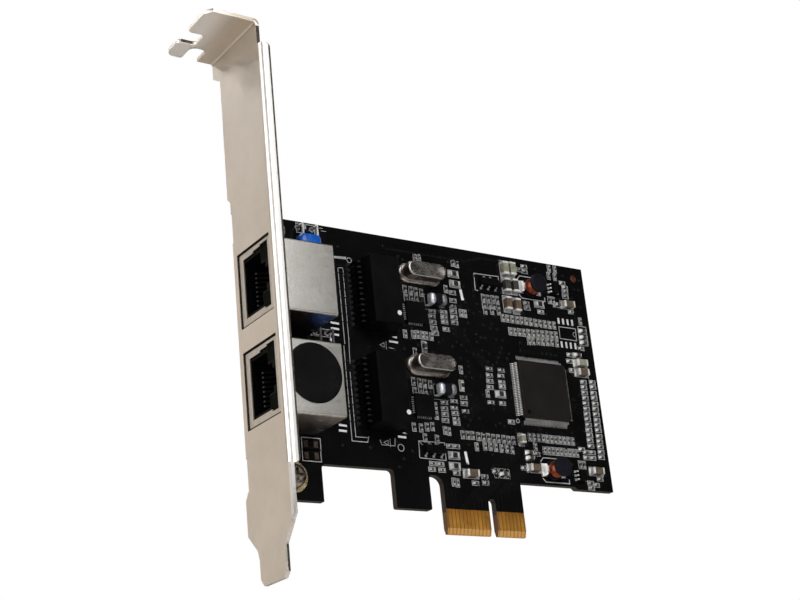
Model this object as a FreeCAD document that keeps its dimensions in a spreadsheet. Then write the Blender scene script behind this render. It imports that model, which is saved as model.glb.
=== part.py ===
# Dual-port network interface card on a full-height slot bracket, millimetres.
# Frame: +Z up (along the bracket, towards the screw tab), +X along the board away
# from the bracket, -Y out of the component side.
# x = 0 is the bracket's outer face, y = 0 the component-side surface of the board,
# z = 0 the lower edge of the board's gold fingers.
import FreeCAD, Part
import Sketcher
import os
import math

V = FreeCAD.Vector
doc = FreeCAD.newDocument("NetworkCard")
sheet = doc.addObject("Spreadsheet::Sheet", "Dims")

DIMS = [
    # bracket
    ("sheet_t", 0.86, "bracket sheet thickness"),
    ("bend_in", 0.50, "inner bend radius"),
    ("bend_out", 1.36, "outer bend radius"),
    ("face_right", -15.5, "outer plane of the flange"),
    ("face_flat", -14.14, "end of the flat of the face, flange side"),
    ("face_left", 2.92, "left edge of the face"),
    ("face_wide", 6.09, "left edge at the top"),
    ("face_recess", 1.8, "left edge between the lugs"),
    ("lug_flat", 1.09, "end of the flat at the lugs"),
    ("tongue_left", -1.15, "tongue, left edge"),
    ("tongue_right", -11.34, "tongue, right edge"),
    ("tongue_tip", -12.82, "tongue tip"),
    ("tab_top", 107.2, "upper side of the tab"),
    ("tab_under", 106.34, "underside of the tab"),
    ("face_end", 105.84, "end of the flat of the face below the tab"),
    ("tab_out", -11.43, "outer end of the tab"),
    ("flange_x", 2.4, "reach of the flange"),
    ("flange_lo", 8.6, "lower end of the flange"),
    ("flange_hi", 101.0, "upper end of the flange"),
    ("lug_in", 1.60, "lug, side towards the board"),
    ("lug_out", 2.46, "lug, outer side"),
    ("lug_half", 3.4, "half the lug width"),
    ("notch_a", -4.56, "screw notch, one side"),
    ("notch_b", -0.14, "screw notch, other side"),
    ("notch_end", -7.30, "screw notch, closed end"),
    ("side_a", -7.65, "side notch, outer side"),
    ("side_b", -3.75, "side notch, inner side"),
    ("side_end", 1.05, "side notch, closed end"),
    # board
    ("board_t", 1.57, "board thickness"),
    ("board_x0", 1.6, "board, edge at the bracket"),
    ("board_x1", 95.7, "board, far edge"),
    ("board_top", 67.9, "board, upper edge"),
    ("board_low", 13.4, "board, lower edge near the bracket"),
    ("board_low2", 12.4, "board, lower edge beyond the fingers"),
    ("board_low3", 11.8, "board, lower edge at the far end"),
    ("ear_low", 5.4, "screw ear, lower edge"),
    ("ear_x", 16.6, "screw ear, end"),
    ("leg_x0", 34.5, "hook leg, near side"),
    ("leg_x1", 43.5, "hook leg, far side"),
    ("leg_low", 5.0, "hook leg, lower end"),
    ("hook_top", 12.7, "hook notch, upper end"),
    ("fing_x0", 47.12, "fingers, near side"),
    ("key_x0", 58.77, "key notch, near side"),
    ("key_x1", 60.67, "key notch, far side"),
    ("key_top", 8.25, "key notch, upper end"),
    ("fing_x1", 68.32, "fingers, far side"),
    ("bevel_z", 1.3, "bevel height at the finger edge"),
    ("bevel_y", 0.42, "bevel depth at the finger edge"),
    ("pad_w", 0.72, "contact finger width"),
    ("pad_t", 0.05, "contact finger thickness"),
    ("pad_top", 5.45, "contact finger, upper end"),
    ("pad_pitch", 1.0, "contact finger pitch"),
    ("screw_lo_x", 9.6, "lower screw, distance from the face"),
    ("screw_lo", 10.3, "lower screw height"),
    ("screw_hi_x", 9.0, "upper screw, distance from the face"),
    ("screw_hi", 64.4, "upper screw height"),
    # ports
    ("port_lo", 19.39, "lower port, lower side"),
    ("port_hi", 41.23, "upper port, lower side"),
    ("port_tall", 16.0, "port size along the bracket"),
    ("port_h", 13.0, "port height off the board"),
    ("port_x0", 0.3, "port front"),
    ("port_x1", 15.55, "port back"),
    ("tin", 0.25, "shield sheet"),
    ("port_gap", 0.35, "gap round the port in the bracket"),
    ("open_u0", 1.75, "shield mouth, board side"),
    ("open_u1", 12.05, "shield mouth, outer side"),
    ("open_z", 1.45, "shield mouth, margin"),
    # magnetics
    ("mag_w", 8.0, "transformer width"),
    ("mag_l", 16.0, "transformer length"),
    ("mag_t", 6.0, "transformer top above the board"),
    ("mag_lo_x", 32.5, "lower transformer centre, x"),
    ("mag_lo_z", 29.8, "lower transformer centre, z"),
    ("mag_hi_x", 33.3, "upper transformer centre, x"),
    ("mag_hi_z", 52.4, "upper transformer centre, z"),
    ("mag_pitch", 1.27, "transformer lead pitch"),
    # crystals
    ("xtal_bl", 11.35, "crystal base length"),
    ("xtal_bw", 4.65, "crystal base width"),
    ("xtal_bt", 0.8, "crystal base thickness"),
    ("xtal_l", 10.5, "crystal can length"),
    ("xtal_w", 3.8, "crystal can width"),
    ("xtal_t", 4.0, "crystal can top above the board"),
    # chips
    ("lan_w", 5.0, "network controller side"),
    ("lan_t", 0.9, "network controller height"),
    ("choke_l", 4.7, "choke length"),
    ("choke_w", 2.7, "choke width"),
    ("choke_t", 2.2, "choke height"),
    ("bridge_w", 14.0, "bridge chip side"),
    ("bridge_t", 1.5, "bridge chip top above the board"),
    ("bridge_x", 77.93, "bridge chip centre, x"),
    ("bridge_z", 34.56, "bridge chip centre, z"),
    ("bridge_pitch", 0.4, "bridge chip lead pitch"),
    # discs
    ("disc_r", 2.95, "disc capacitor radius"),
    ("disc_t", 3.2, "disc capacitor thickness"),
    ("disc_lift", 0.6, "disc capacitor, gap to the board"),
    # chip sizes
    ("c0402_l", 1.0, "0402 length"), ("c0402_w", 0.5, "0402 width"),
    ("c0603_l", 1.6, "0603 length"), ("c0603_w", 0.8, "0603 width"),
    ("c0805_l", 2.0, "0805 length"), ("c0805_w", 1.25, "0805 width"),
    ("c1206_l", 3.2, "1206 length"), ("c1206_w", 1.6, "1206 width"),
    ("res_t", 0.35, "small resistor height"), ("cap_t", 0.50, "small capacitor height"),
    ("cap6_t", 0.8, "0603 capacitor height"), ("cap12_t", 1.3, "large capacitor height"),
    ("res8_t", 0.55, "0805 resistor height"),
]
N = {}
for i, (alias, val, text) in enumerate(DIMS, start=1):
    sheet.set("A%d" % i, text)
    sheet.set("B%d" % i, str(val))
    sheet.setAlias("B%d" % i, alias)
    N[alias] = float(val)
doc.recompute()


def num(e):
    """Value of an expression written with the sheet's aliases."""
    if isinstance(e, (int, float)):
        return float(e)
    out, word = [], ""
    for ch in str(e) + " ":
        if ch.isalnum() or ch == "_":
            word += ch
            continue
        if word:
            out.append(repr(N[word]) if word in N else word)
            word = ""
        out.append(ch)
    return FreeCAD.Units.Quantity("".join(out).strip()).Value


def bound(e):
    """The same expression with its words pointing at the sheet."""
    out, word = [], ""
    for ch in str(e) + " ":
        if ch.isalnum() or ch == "_":
            word += ch
            continue
        if word:
            out.append("Dims." + word if word in N else word)
            word = ""
        out.append(ch)
    return "".join(out).strip()


def drive(obj, prop, e):
    if isinstance(e, str) and any(c.isalpha() for c in e):
        obj.setExpression(prop, bound(e))
        return
    target, steps = obj, prop.split(".")
    if len(steps) == 1:
        setattr(obj, prop, num(e))
    else:
        obj.setExpression(prop, repr(num(e)))


def box(name, x, y, z):
    b = doc.addObject("Part::Box", name)
    for prop, (lo, hi) in zip(("Length", "Width", "Height"), (x, y, z)):
        drive(b, prop, "(%s) - (%s)" % (hi, lo) if isinstance(hi, str) or isinstance(lo, str) else hi - lo)
    for ax, (lo, hi) in zip("xyz", (x, y, z)):
        drive(b, "Placement.Base." + ax, lo)
    return b


def cyl(name, axis, r, lo, hi, centre):
    """Cylinder along an axis ('x', 'y' or 'z'), from lo to hi; centre in the other two, in order."""
    c = doc.addObject("Part::Cylinder", name)
    drive(c, "Radius", r)
    drive(c, "Height", "(%s) - (%s)" % (hi, lo))
    if axis == "x":
        c.Placement.Rotation = FreeCAD.Rotation(V(0, 1, 0), 90)
        names, vals = ("x", "y", "z"), (lo, centre[0], centre[1])
    elif axis == "y":
        c.Placement.Rotation = FreeCAD.Rotation(V(1, 0, 0), -90)
        names, vals = ("x", "y", "z"), (centre[0], lo, centre[1])
    else:
        names, vals = ("x", "y", "z"), (centre[0], centre[1], lo)
    for ax, v in zip(names, vals):
        drive(c, "Placement.Base." + ax, v)
    return c


def fuse(name, parts):
    f = doc.addObject("Part::MultiFuse", name)
    f.Shapes = parts
    return f


def cut(name, base, tool):
    c = doc.addObject("Part::Cut", name)
    c.Base, c.Tool = base, tool
    return c


def compound(name, parts):
    c = doc.addObject("Part::Compound", name)
    c.Links = parts
    return c


def edges_of(shape, test):
    out = []
    for i, e in enumerate(shape.Edges, start=1):
        if len(e.Vertexes) == 2 and test(e.Vertexes[0].Point, e.Vertexes[1].Point):
            out.append(i)
    return out


def body(name):
    b = doc.addObject("PartDesign::Body", name)
    return b


def plane(b, role):
    for f in b.Origin.OriginFeatures:
        if f.Role == role:
            return f


def sketch(b, name, role, loops, offset=0.0):
    """Closed loops of corners (u, v) or (u, v, radius, side): a radius makes the side that
    leaves that corner an arc; side +1 bulges to the right of the way, -1 to the left."""
    s = b.newObject("Sketcher::SketchObject", name)
    s.AttachmentSupport = (plane(b, role), [""])
    s.MapMode = "FlatFace"
    s.AttachmentOffset = FreeCAD.Placement(V(0, 0, num(offset)), FreeCAD.Rotation())
    if isinstance(offset, str):
        s.setExpression("AttachmentOffset.Base.z", bound(offset))
    cons, exprs, geo = [], [], []
    for loop in loops:
        first = len(geo)
        n = len(loop)
        for i in range(n):
            p = V(num(loop[i][0]), num(loop[i][1]), 0)
            q = V(num(loop[(i + 1) % n][0]), num(loop[(i + 1) % n][1]), 0)
            if len(loop[i]) > 2:
                r, side = num(loop[i][2]), loop[i][3]
                mid = (p + q) * 0.5
                d = q - p
                nrm = V(d.y, -d.x, 0)
                nrm.normalize()
                half = d.Length / 2.0
                sag = r - math.sqrt(max(r * r - half * half, 0.0))
                geo.append(Part.Arc(p, mid + nrm * (sag * side), q))
            else:
                geo.append(Part.LineSegment(p, q))
        ends = []
        for i in range(n):
            g = geo[first + i]
            p = V(num(loop[i][0]), num(loop[i][1]), 0)
            start, end = 1, 2
            if isinstance(g, Part.Arc):
                c = g.toShape().Curve
                a = Part.ArcOfCircle(Part.Circle(c.Center, V(0, 0, 1), c.Radius), 0, 1)
                q = V(num(loop[(i + 1) % n][0]), num(loop[(i + 1) % n][1]), 0)
                a0 = math.atan2(p.y - c.Center.y, p.x - c.Center.x)
                a1 = math.atan2(q.y - c.Center.y, q.x - c.Center.x)
                span = (a1 - a0) % (2 * math.pi)
                if span > math.pi:
                    a0, a1 = a1, a0
                    start, end = 2, 1
                geo[first + i] = Part.ArcOfCircle(Part.Circle(c.Center, V(0, 0, 1), c.Radius), a0, a1)
            ends.append((start, end))
        for i in range(n):
            j = (i + 1) % n
            cons.append(Sketcher.Constraint("Coincident", first + i, ends[i][1], first + j, ends[j][0]))
            exprs.append(None)
            for kind, e in (("DistanceX", loop[i][0]), ("DistanceY", loop[i][1])):
                cons.append(Sketcher.Constraint(kind, first + i, ends[i][0], num(e)))
                exprs.append(bound(e) if isinstance(e, str) else None)
            if len(loop[i]) > 2:
                cons.append(Sketcher.Constraint("Radius", first + i, num(loop[i][2])))
                exprs.append(bound(loop[i][2]) if isinstance(loop[i][2], str) else None)
    s.addGeometry(geo, False)
    s.addConstraint(cons)
    for k, e in enumerate(exprs):
        if e:
            s.setExpression("Constraints[%d]" % k, e)
    return s


def pad(b, name, sk, length, reverse=False, symmetric=False):
    p = b.newObject("PartDesign::Pad", name)
    p.Profile = sk
    p.Reversed = reverse
    if symmetric:
        p.Midplane = True
    drive(p, "Length", length)
    return p


def pocket(b, name, sk, length, reverse=False):
    p = b.newObject("PartDesign::Pocket", name)
    p.Profile = sk
    p.Reversed = reverse
    drive(p, "Length", length)
    return p


def fillet(b, name, r, test):
    doc.recompute()
    prev = b.Tip
    f = b.newObject("PartDesign::Fillet", name)
    f.Base = (prev, ["Edge%d" % i for i in edges_of(prev.Shape, test)])
    drive(f, "Radius", r)
    return f


def near(a, b, tol=0.02):
    return abs(a - b) < tol


def along(axis, **at):
    """Test for an edge that runs along an axis through a point given in the other two."""
    def test(p, q):
        d = q - p
        for ax in "xyz":
            if ax != axis and abs(getattr(d, ax)) > 1e-4:
                return False
        if abs(getattr(d, axis)) < 1e-6:
            return False
        mid = (p + q) * 0.5
        return all(near(getattr(mid, ax), v) for ax, v in at.items() if ax != "span")
    return test


NODES = []


def node(obj, name):
    obj.Label = name
    NODES.append((name, obj))


# ---------------------------------------------------------------- bracket
# One sheet: face with tongue and two port cut-outs, screw tab folded outwards at the top,
# stiffening flange folded back beyond the component side, two lugs folded back behind the board.
br = body("bracket_body")
lz = [("%s" % "screw_lo - lug_half"), ("%s" % "screw_lo + lug_half"), "screw_hi - lug_half", "screw_hi + lug_half"]
face = sketch(br, "FaceOutline", "YZ_Plane", [[
    ("face_left", -2.0), (-0.6, -5.6), ("tongue_left", -7.5), ("tongue_left", -11.3), (-2.3, "tongue_tip"),
    (-10.2, "tongue_tip"), ("tongue_right", -11.7), ("tongue_right", -6.5), (-11.8, -5.9), ("face_right", -1.4),
    ("face_right", "flange_lo"), ("face_flat", "flange_lo"), ("face_flat", "face_end"),
    ("face_wide", "face_end"), ("face_wide", 102.5), ("face_left", 100.5), ("face_left", 71.6),
    ("face_recess", 70.5), ("face_recess", lz[3]), ("lug_flat", lz[3]), ("lug_flat", lz[2]), ("face_recess", lz[2]),
    ("face_recess", lz[1]), ("lug_flat", lz[1]), ("lug_flat", lz[0]), ("face_recess", lz[0]), ("face_left", 5.2)]])
pad(br, "Face", face, "sheet_t")
tab = sketch(br, "TabSection", "XZ_Plane", [[
    (0.0, "face_end", "bend_in", 1), ("-bend_in", "tab_under"), ("tab_out", "tab_under"), ("tab_out", "tab_top"),
    ("-bend_in", "tab_top", "bend_out", -1), ("sheet_t", "face_end")]], offset="-face_wide")
pad(br, "Tab", tab, "face_wide - face_flat")
flange = sketch(br, "FlangeSection", "XY_Plane", [[
    (0.0, "face_flat", "bend_out", 1), ("bend_out", "face_right"), ("flange_x", "face_right"),
    ("flange_x", "face_right + sheet_t"), ("bend_out", "face_right + sheet_t", "bend_in", -1),
    ("sheet_t", "face_flat")]], offset="flange_lo")
pad(br, "Flange", flange, "flange_hi - flange_lo")
for tag, xc, zc in (("Low", "screw_lo_x", "screw_lo"), ("High", "screw_hi_x", "screw_hi")):
    lug = sketch(br, "LugSection" + tag, "XY_Plane", [[
        (0.0, "lug_flat", "bend_out", -1), ("bend_out", "lug_out"), (xc, "lug_out"), (xc, "lug_in"),
        ("bend_out", "lug_in", "bend_in", 1), ("sheet_t", "lug_flat")]], offset=zc + " - lug_half")
    pad(br, "Lug" + tag, lug, "lug_half * 2")
    end = sketch(br, "LugEnd" + tag, "XZ_Plane", [[
        (xc + " - 0.2", zc + " - lug_half"), (xc, zc + " - lug_half", "lug_half", 1),
        (xc + " + lug_half", zc, "lug_half", 1), (xc, zc + " + lug_half"),
        (xc + " - 0.2", zc + " + lug_half")]], offset="-lug_out")
    pad(br, "LugTip" + tag, end, "lug_out - lug_in")
for tag, zc in (("Low", "port_lo"), ("High", "port_hi")):
    hole = sketch(br, "PortHole" + tag, "YZ_Plane", [[
        (0.3, zc + " - port_gap"), (0.3, zc + " + port_tall + port_gap"),
        ("-port_h - port_gap", zc + " + port_tall + port_gap"), ("-port_h - port_gap", zc + " - port_gap")]])
    pocket(br, "PortCut" + tag, hole, "sheet_t + 1", reverse=True)
tabcut = sketch(br, "TabNotches", "XY_Plane", [
    [("tab_out - 1", "notch_a"), ("notch_end", "notch_a"), ("notch_end", "notch_b"), ("tab_out - 1", "notch_b")],
    [("side_a", "side_end"), ("side_b", "side_end"), ("side_b", "face_wide + 1"), ("side_a", "face_wide + 1")],
    [("tab_out - 1", "face_flat - 1"), (-9.6, "face_flat - 1"), (-10.0, "face_flat"),
     ("tab_out", "face_flat + 1.6"), ("tab_out - 1", "face_flat + 1.8")]], offset="tab_under - 0.4")
pocket(br, "TabNotchCut", tabcut, "sheet_t + 1", reverse=True)
fillet(br, "NotchEnd", 1.0, lambda p, q: any(along("z", x=num("notch_end"), y=y)(p, q) for y in (N["notch_a"], N["notch_b"])))
fillet(br, "SideEnd", 1.5, lambda p, q: any(along("z", x=x, y=N["side_end"])(p, q) for x in (N["side_a"], N["side_b"])))
fillet(br, "NotchMouth", 1.2, lambda p, q: any(along("z", x=N["tab_out"], y=y)(p, q) for y in (N["notch_a"], N["notch_b"])))
fillet(br, "EarCorner", 1.9, along("z", x=N["tab_out"], y=N["face_wide"]))
fillet(br, "EarInner", 0.6, along("z", x=N["side_a"], y=N["face_wide"]))
fillet(br, "FlangeEnds", 0.95, lambda p, q: any(along("y", x=N["flange_x"], z=z)(p, q) for z in (N["flange_lo"], N["flange_hi"])))
for tag, xc, zc in (("Low", "screw_lo_x", "screw_lo"), ("High", "screw_hi_x", "screw_hi")):
    h = sketch(br, "LugHole" + tag, "XZ_Plane", [[
        (xc + " - 1.55", zc, 1.55, 1), (xc, zc + " - 1.55", 1.55, 1),
        (xc + " + 1.55", zc, 1.55, 1), (xc, zc + " + 1.55", 1.55, 1)]], offset="-lug_out - 0.5")
    pocket(br, "LugDrill" + tag, h, "3", reverse=True)
node(br, "mounting_bracket")

# ---------------------------------------------------------------- board
pcb = body("board_body")
outline = sketch(pcb, "BoardOutline", "XZ_Plane", [[
    ("board_x0", "ear_low"), ("ear_x", "ear_low"), ("ear_x", "board_low"), ("leg_x0", "board_low"),
    ("leg_x0", "leg_low"), ("leg_x1", "leg_low"), ("leg_x1", "hook_top"), ("fing_x0", "hook_top"),
    ("fing_x0", 0.0), ("key_x0", 0.0), ("key_x0", "key_top"), ("key_x1", "key_top"), ("key_x1", 0.0),
    ("fing_x1", 0.0), ("fing_x1", "board_low2"), (84.2, "board_low2"), (84.9, "board_low3"),
    ("board_x1", "board_low3"), ("board_x1", "board_top"), ("board_x0", "board_top")]])
pad(pcb, "Board", outline, "board_t", reverse=True)
for side, name in ((0, "BevelFront"), (1, "BevelBack")):
    y0 = "0.0" if side == 0 else "board_t"
    y1 = "bevel_y" if side == 0 else "board_t - bevel_y"
    tri = sketch(pcb, name, "YZ_Plane", [[(y0, 0.0), (y1, 0.0), (y0, "bevel_z")]], offset="fing_x0 - 1")
    pocket(pcb, name + "Cut", tri, "fing_x1 - fing_x0 + 2", reverse=True)
fillet(pcb, "KeyEnd", 0.92, lambda p, q: any(along("y", x=x, z=N["key_top"])(p, q) for x in (N["key_x0"], N["key_x1"])))
fillet(pcb, "HookNear", 0.6, along("y", x=N["leg_x1"], z=N["hook_top"]))
fillet(pcb, "HookFar", 2.2, along("y", x=N["fing_x0"], z=N["hook_top"]))
fillet(pcb, "LegCorner", 1.0, lambda p, q: any(along("y", x=x, z=N["board_low"])(p, q) for x in (N["leg_x0"], N["ear_x"])))
fillet(pcb, "LegEnd", 0.4, lambda p, q: any(along("y", x=x, z=N["leg_low"])(p, q) for x in (N["leg_x0"], N["leg_x1"])))
for k, (xc, zc) in enumerate((("screw_lo_x", "screw_lo"), ("screw_hi_x", "screw_hi"))):
    h = sketch(pcb, "ScrewHole%d" % k, "XZ_Plane", [[
        (xc + " - 1.6", zc, 1.6, 1), (xc, zc + " - 1.6", 1.6, 1),
        (xc + " + 1.6", zc, 1.6, 1), (xc, zc + " + 1.6", 1.6, 1)]])
    pocket(pcb, "ScrewDrill%d" % k, h, "board_t + 1")
for k, zc in enumerate(("port_lo + 8 - 5.72", "port_lo + 8 + 5.72", "port_hi + 8 - 5.72", "port_hi + 8 + 5.72")):
    h = sketch(pcb, "PegHole%d" % k, "XZ_Plane", [[
        ("9.0 - 1.65", zc, 1.65, 1), (9.0, zc + " - 1.65", 1.65, 1),
        ("9.0 + 1.65", zc, 1.65, 1), (9.0, zc + " + 1.65", 1.65, 1)]])
    pocket(pcb, "PegDrill%d" % k, h, "board_t + 1")
node(pcb, "circuit_board")

# gold fingers: 11 and 7 contacts on each side of the key notch
for side, name in ((0, "edge_contacts_front"), (1, "edge_contacts_back")):
    ys = ("-pad_t", "0") if side == 0 else ("board_t", "board_t + pad_t")
    items = []
    for k in range(18):
        c = "fing_x0 + 0.825 + pad_pitch * %d" % k if k < 11 else "key_x1 + 0.825 + pad_pitch * %d" % (k - 11)
        low = "bevel_z + 0.02" if not (side == 1 and k == 16) else "bevel_z + 1.2"
        items.append(box("%s_%02d" % (name, k), (c + " - pad_w / 2", c + " + pad_w / 2"), ys, (low, "pad_top")))
    node(compound(name + "_set", items), name)

# ---------------------------------------------------------------- board screws
items = []
for tag, xc, zc in (("lo", "screw_lo_x", "screw_lo"), ("hi", "screw_hi_x", "screw_hi")):
    head = cyl("screw_head_" + tag, "y", 2.5, "-1.9", "-0.02", (xc, zc))
    hf = doc.addObject("Part::Fillet", "screw_dome_" + tag)
    hf.Base = head
    doc.recompute()
    tops = [i for i, e in enumerate(head.Shape.Edges, 1) if len(e.Vertexes) == 1 and near(e.CenterOfMass.y, -1.9)]
    hf.Edges = [(i, 1.1, 1.1) for i in tops]
    shank = cyl("screw_shank_" + tag, "y", 1.45, "-0.5", "lug_out + 0.7", (xc, zc))
    whole = fuse("screw_whole_" + tag, [hf, shank])
    slot_a = box("screw_slot_a_" + tag, (xc + " - 1.35", xc + " + 1.35"), (-2.2, -0.9), (zc + " - 0.3", zc + " + 0.3"))
    slot_b = box("screw_slot_b_" + tag, (xc + " - 0.3", xc + " + 0.3"), (-2.2, -0.9), (zc + " - 1.35", zc + " + 1.35"))
    items.append(cut("screw_" + tag, whole, fuse("screw_cross_" + tag, [slot_a, slot_b])))
node(compound("board_screws_set", items), "board_screws")

# ---------------------------------------------------------------- ports
for tag, zb in (("lower", "port_lo"), ("upper", "port_hi")):
    zt = zb + " + port_tall"
    # folded shield: open towards the board, mouth in front with steps beside the windows
    outer = box("shield_outer_" + tag, ("port_x0", "port_x1"), ("-port_h", "-0.02"), (zb, zt))
    inner = box("shield_inner_" + tag, ("port_x0 + tin", "port_x1 - tin"), ("-port_h + tin", 1.0),
                (zb + " + tin", zt + " - tin"))
    mouth = box("shield_mouth_" + tag, (-1.0, "port_x0 + 1"), ("-open_u1", "-open_u0"),
                (zb + " + open_z", zt + " - open_z"))
    step1 = box("shield_step1_" + tag, (-1.0, "port_x0 + 1"), ("-open_u1", -6.0), (zt + " - 2", zt + " - 1.05"))
    step2 = box("shield_step2_" + tag, (-1.0, "port_x0 + 1"), ("-open_u1", -8.9), (zt + " - 2", zt + " - 0.7"))
    step3 = box("shield_step3_" + tag, (-1.0, "port_x0 + 1"), ("-open_u1", -9.6), (zb + " + 1.0", zb + " + 2"))
    shield = cut("shield_cut_" + tag, outer, fuse("shield_tools_" + tag, [inner, mouth, step1, step2, step3]))
    node(shield, "port_shield_" + tag)
    # moulded housing: plug cavity, stepped latch recess, two window pockets, two pegs through the board
    hx = ("port_x0 + tin + 0.02", "port_x1 - tin - 0.02")
    block = box("housing_block_" + tag, hx, ("-port_h + tin + 0.02", "-0.02"), (zb + " + tin + 0.02", zt + " - tin - 0.02"))
    pegs = [cyl("housing_peg_%s_%d" % (tag, k), "y", 1.6, "-0.5", "board_t + 0.5", (9.0, zb + " + 8 + %g" % dz))
            for k, dz in enumerate((-5.72, 5.72))]
    solid = fuse("housing_solid_" + tag, [block] + pegs)
    cav = box("housing_cavity_" + tag, (0.0, 12.2), (-8.6, -1.9), (zb + " + 2.15", zb + " + 13.85"))
    latch1 = box("housing_latch1_" + tag, (0.0, 12.2), (-10.3, -8.0), (zb + " + 4.9", zb + " + 11.1"))
    latch2 = box("housing_latch2_" + tag, (0.0, 12.2), (-11.5, -10.0), (zb + " + 6.2", zb + " + 9.8"))
    win1 = box("housing_win1_" + tag, (0.0, 2.0), (-12.0, -8.9), (zb + " + 11.6", zb + " + 14.9"))
    win2 = box("housing_win2_" + tag, (0.0, 2.0), (-12.0, -8.9), (zb + " + 1.1", zb + " + 4.4"))
    housing = cut("housing_cut_" + tag, solid, fuse("housing_tools_" + tag, [cav, latch1, latch2, win1, win2]))
    node(housing, "port_housing_" + tag)
    # two indicator windows
    lens = [box("lens_%s_%d" % (tag, k), (0.62, 1.98), (-11.95, -8.95), (zb + " + %g" % z0, zb + " + %g" % (z0 + 3.2)))
            for k, z0 in enumerate((1.15, 11.65))]
    node(compound("lens_set_" + tag, lens), "indicator_windows_" + tag)
    # eight spring contacts: along the floor, round at the front, back up into the cavity
    cb = body("contacts_body_" + tag)
    prof = sketch(cb, "ContactShape_" + tag, "XY_Plane", [[
        (11.4, -1.93), (3.0, -1.93), (2.62, -2.12), (2.55, -2.42), (2.75, -2.68), (9.0, -6.0), (9.2, -5.66),
        (3.35, -2.45), (3.3, -2.28), (11.4, -2.28)]], offset=zb + " + 8 - 3.57 - 0.175")
    p = pad(cb, "Contact_" + tag, prof, 0.35)
    doc.recompute()
    lp = cb.newObject("PartDesign::LinearPattern", "ContactRow_" + tag)
    lp.Originals = [p]
    lp.Direction = (plane(cb, "Z_Axis"), [""])
    lp.Length = 7.14
    lp.Occurrences = 8
    cb.Tip = lp
    node(cb, "port_contacts_" + tag)

# round sticker on the lower port's outer side
node(cyl("sticker", "y", 6.45, "-port_h - 0.12", "-port_h - 0.02", (8.62, 28.2)), "round_label")

# ---------------------------------------------------------------- transformers
for tag, cx, cz in (("lower", "mag_lo_x", "mag_lo_z"), ("upper", "mag_hi_x", "mag_hi_z")):
    mb = body("mag_body_" + tag)
    sec = sketch(mb, "MagSection_" + tag, "XY_Plane", [[
        (cx + " - mag_w / 2", -2.6), (cx + " - mag_w / 2 + 0.25", -0.35), (cx + " + mag_w / 2 - 0.25", -0.35),
        (cx + " + mag_w / 2", -2.6), (cx + " + mag_w / 2 - 0.3", "-mag_t"), (cx + " - mag_w / 2 + 0.3", "-mag_t")]],
        offset=cz + " - mag_l / 2")
    pad(mb, "MagBlock_" + tag, sec, "mag_l")
    zc = num(cz)
    fillet(mb, "MagRound_" + tag, 0.25, lambda p, q: near(p.y, -6.0) and near(q.y, -6.0))
    node(mb, "transformer_" + tag)
    lb = body("mag_leads_" + tag)
    left = cx + " - mag_w / 2"
    right = cx + " + mag_w / 2"
    z0 = cz + " - mag_pitch * 5.5 - 0.23"
    prof = sketch(lb, "MagLead_" + tag, "XY_Plane", [
        [(left + " - 0.02", -2.75), (left + " - 0.85", -2.75), (left + " - 1.15", -2.45), (left + " - 1.35", -0.35),
         (left + " - 1.95", -0.27), (left + " - 1.95", -0.02), (left + " - 1.1", -0.02), (left + " - 0.9", -2.2),
         (left + " - 0.65", -2.45), (left + " - 0.02", -2.45)],
        [(right + " + 0.02", -2.75), (right + " + 0.85", -2.75), (right + " + 1.15", -2.45), (right + " + 1.35", -0.35),
         (right + " + 1.95", -0.27), (right + " + 1.95", -0.02), (right + " + 1.1", -0.02), (right + " + 0.9", -2.2),
         (right + " + 0.65", -2.45), (right + " + 0.02", -2.45)]], offset=z0)
    p = pad(lb, "MagLeadPair_" + tag, prof, 0.46)
    doc.recompute()
    lp = lb.newObject("PartDesign::LinearPattern", "MagLeadRow_" + tag)
    lp.Originals = [p]
    lp.Direction = (plane(lb, "Z_Axis"), [""])
    lp.setExpression("Length", "Dims.mag_pitch * 11")
    lp.Occurrences = 12
    lb.Tip = lp
    node(lb, "transformer_leads_" + tag)

# ---------------------------------------------------------------- crystals
for tag, cx, cz in (("lower", 46.25, 37.55), ("upper", 46.25, 59.45)):
    base = box("xtal_base_box_" + tag, ("%g - xtal_bl / 2" % cx, "%g + xtal_bl / 2" % cx), ("-xtal_bt", -0.02),
               ("%g - xtal_bw / 2" % cz, "%g + xtal_bw / 2" % cz))
    doc.recompute()
    bf = doc.addObject("Part::Fillet", "xtal_base_round_" + tag)
    bf.Base = base
    bf.Edges = [(i, 0.9, 0.9) for i in edges_of(base.Shape, lambda p, q: abs(p.y - q.y) > 0.1)]
    node(bf, "crystal_base_" + tag)
    half, rad = "(xtal_l - xtal_w) / 2", "xtal_w / 2"
    mid = box("xtal_mid_" + tag, ("%g - %s" % (cx, half), "%g + %s" % (cx, half)), ("-xtal_t", "-xtal_bt - 0.02"),
              ("%g - %s" % (cz, rad), "%g + %s" % (cz, rad)))
    ends = [cyl("xtal_end_%s_%d" % (tag, k), "y", rad, "-xtal_t", "-xtal_bt - 0.02", ("%g + %s" % (cx, h), cz))
            for k, h in enumerate(("-1 * " + half, half))]
    can = fuse("xtal_can_raw_" + tag, [mid] + ends)
    can.Refine = True
    doc.recompute()
    cf = doc.addObject("Part::Fillet", "xtal_can_" + tag)
    cf.Base = can
    cf.Edges = [(i, 0.5, 0.5) for i in edges_of(can.Shape, lambda p, q: near(p.y, -4.0) and near(q.y, -4.0))]
    node(cf, "crystal_can_" + tag)

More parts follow.
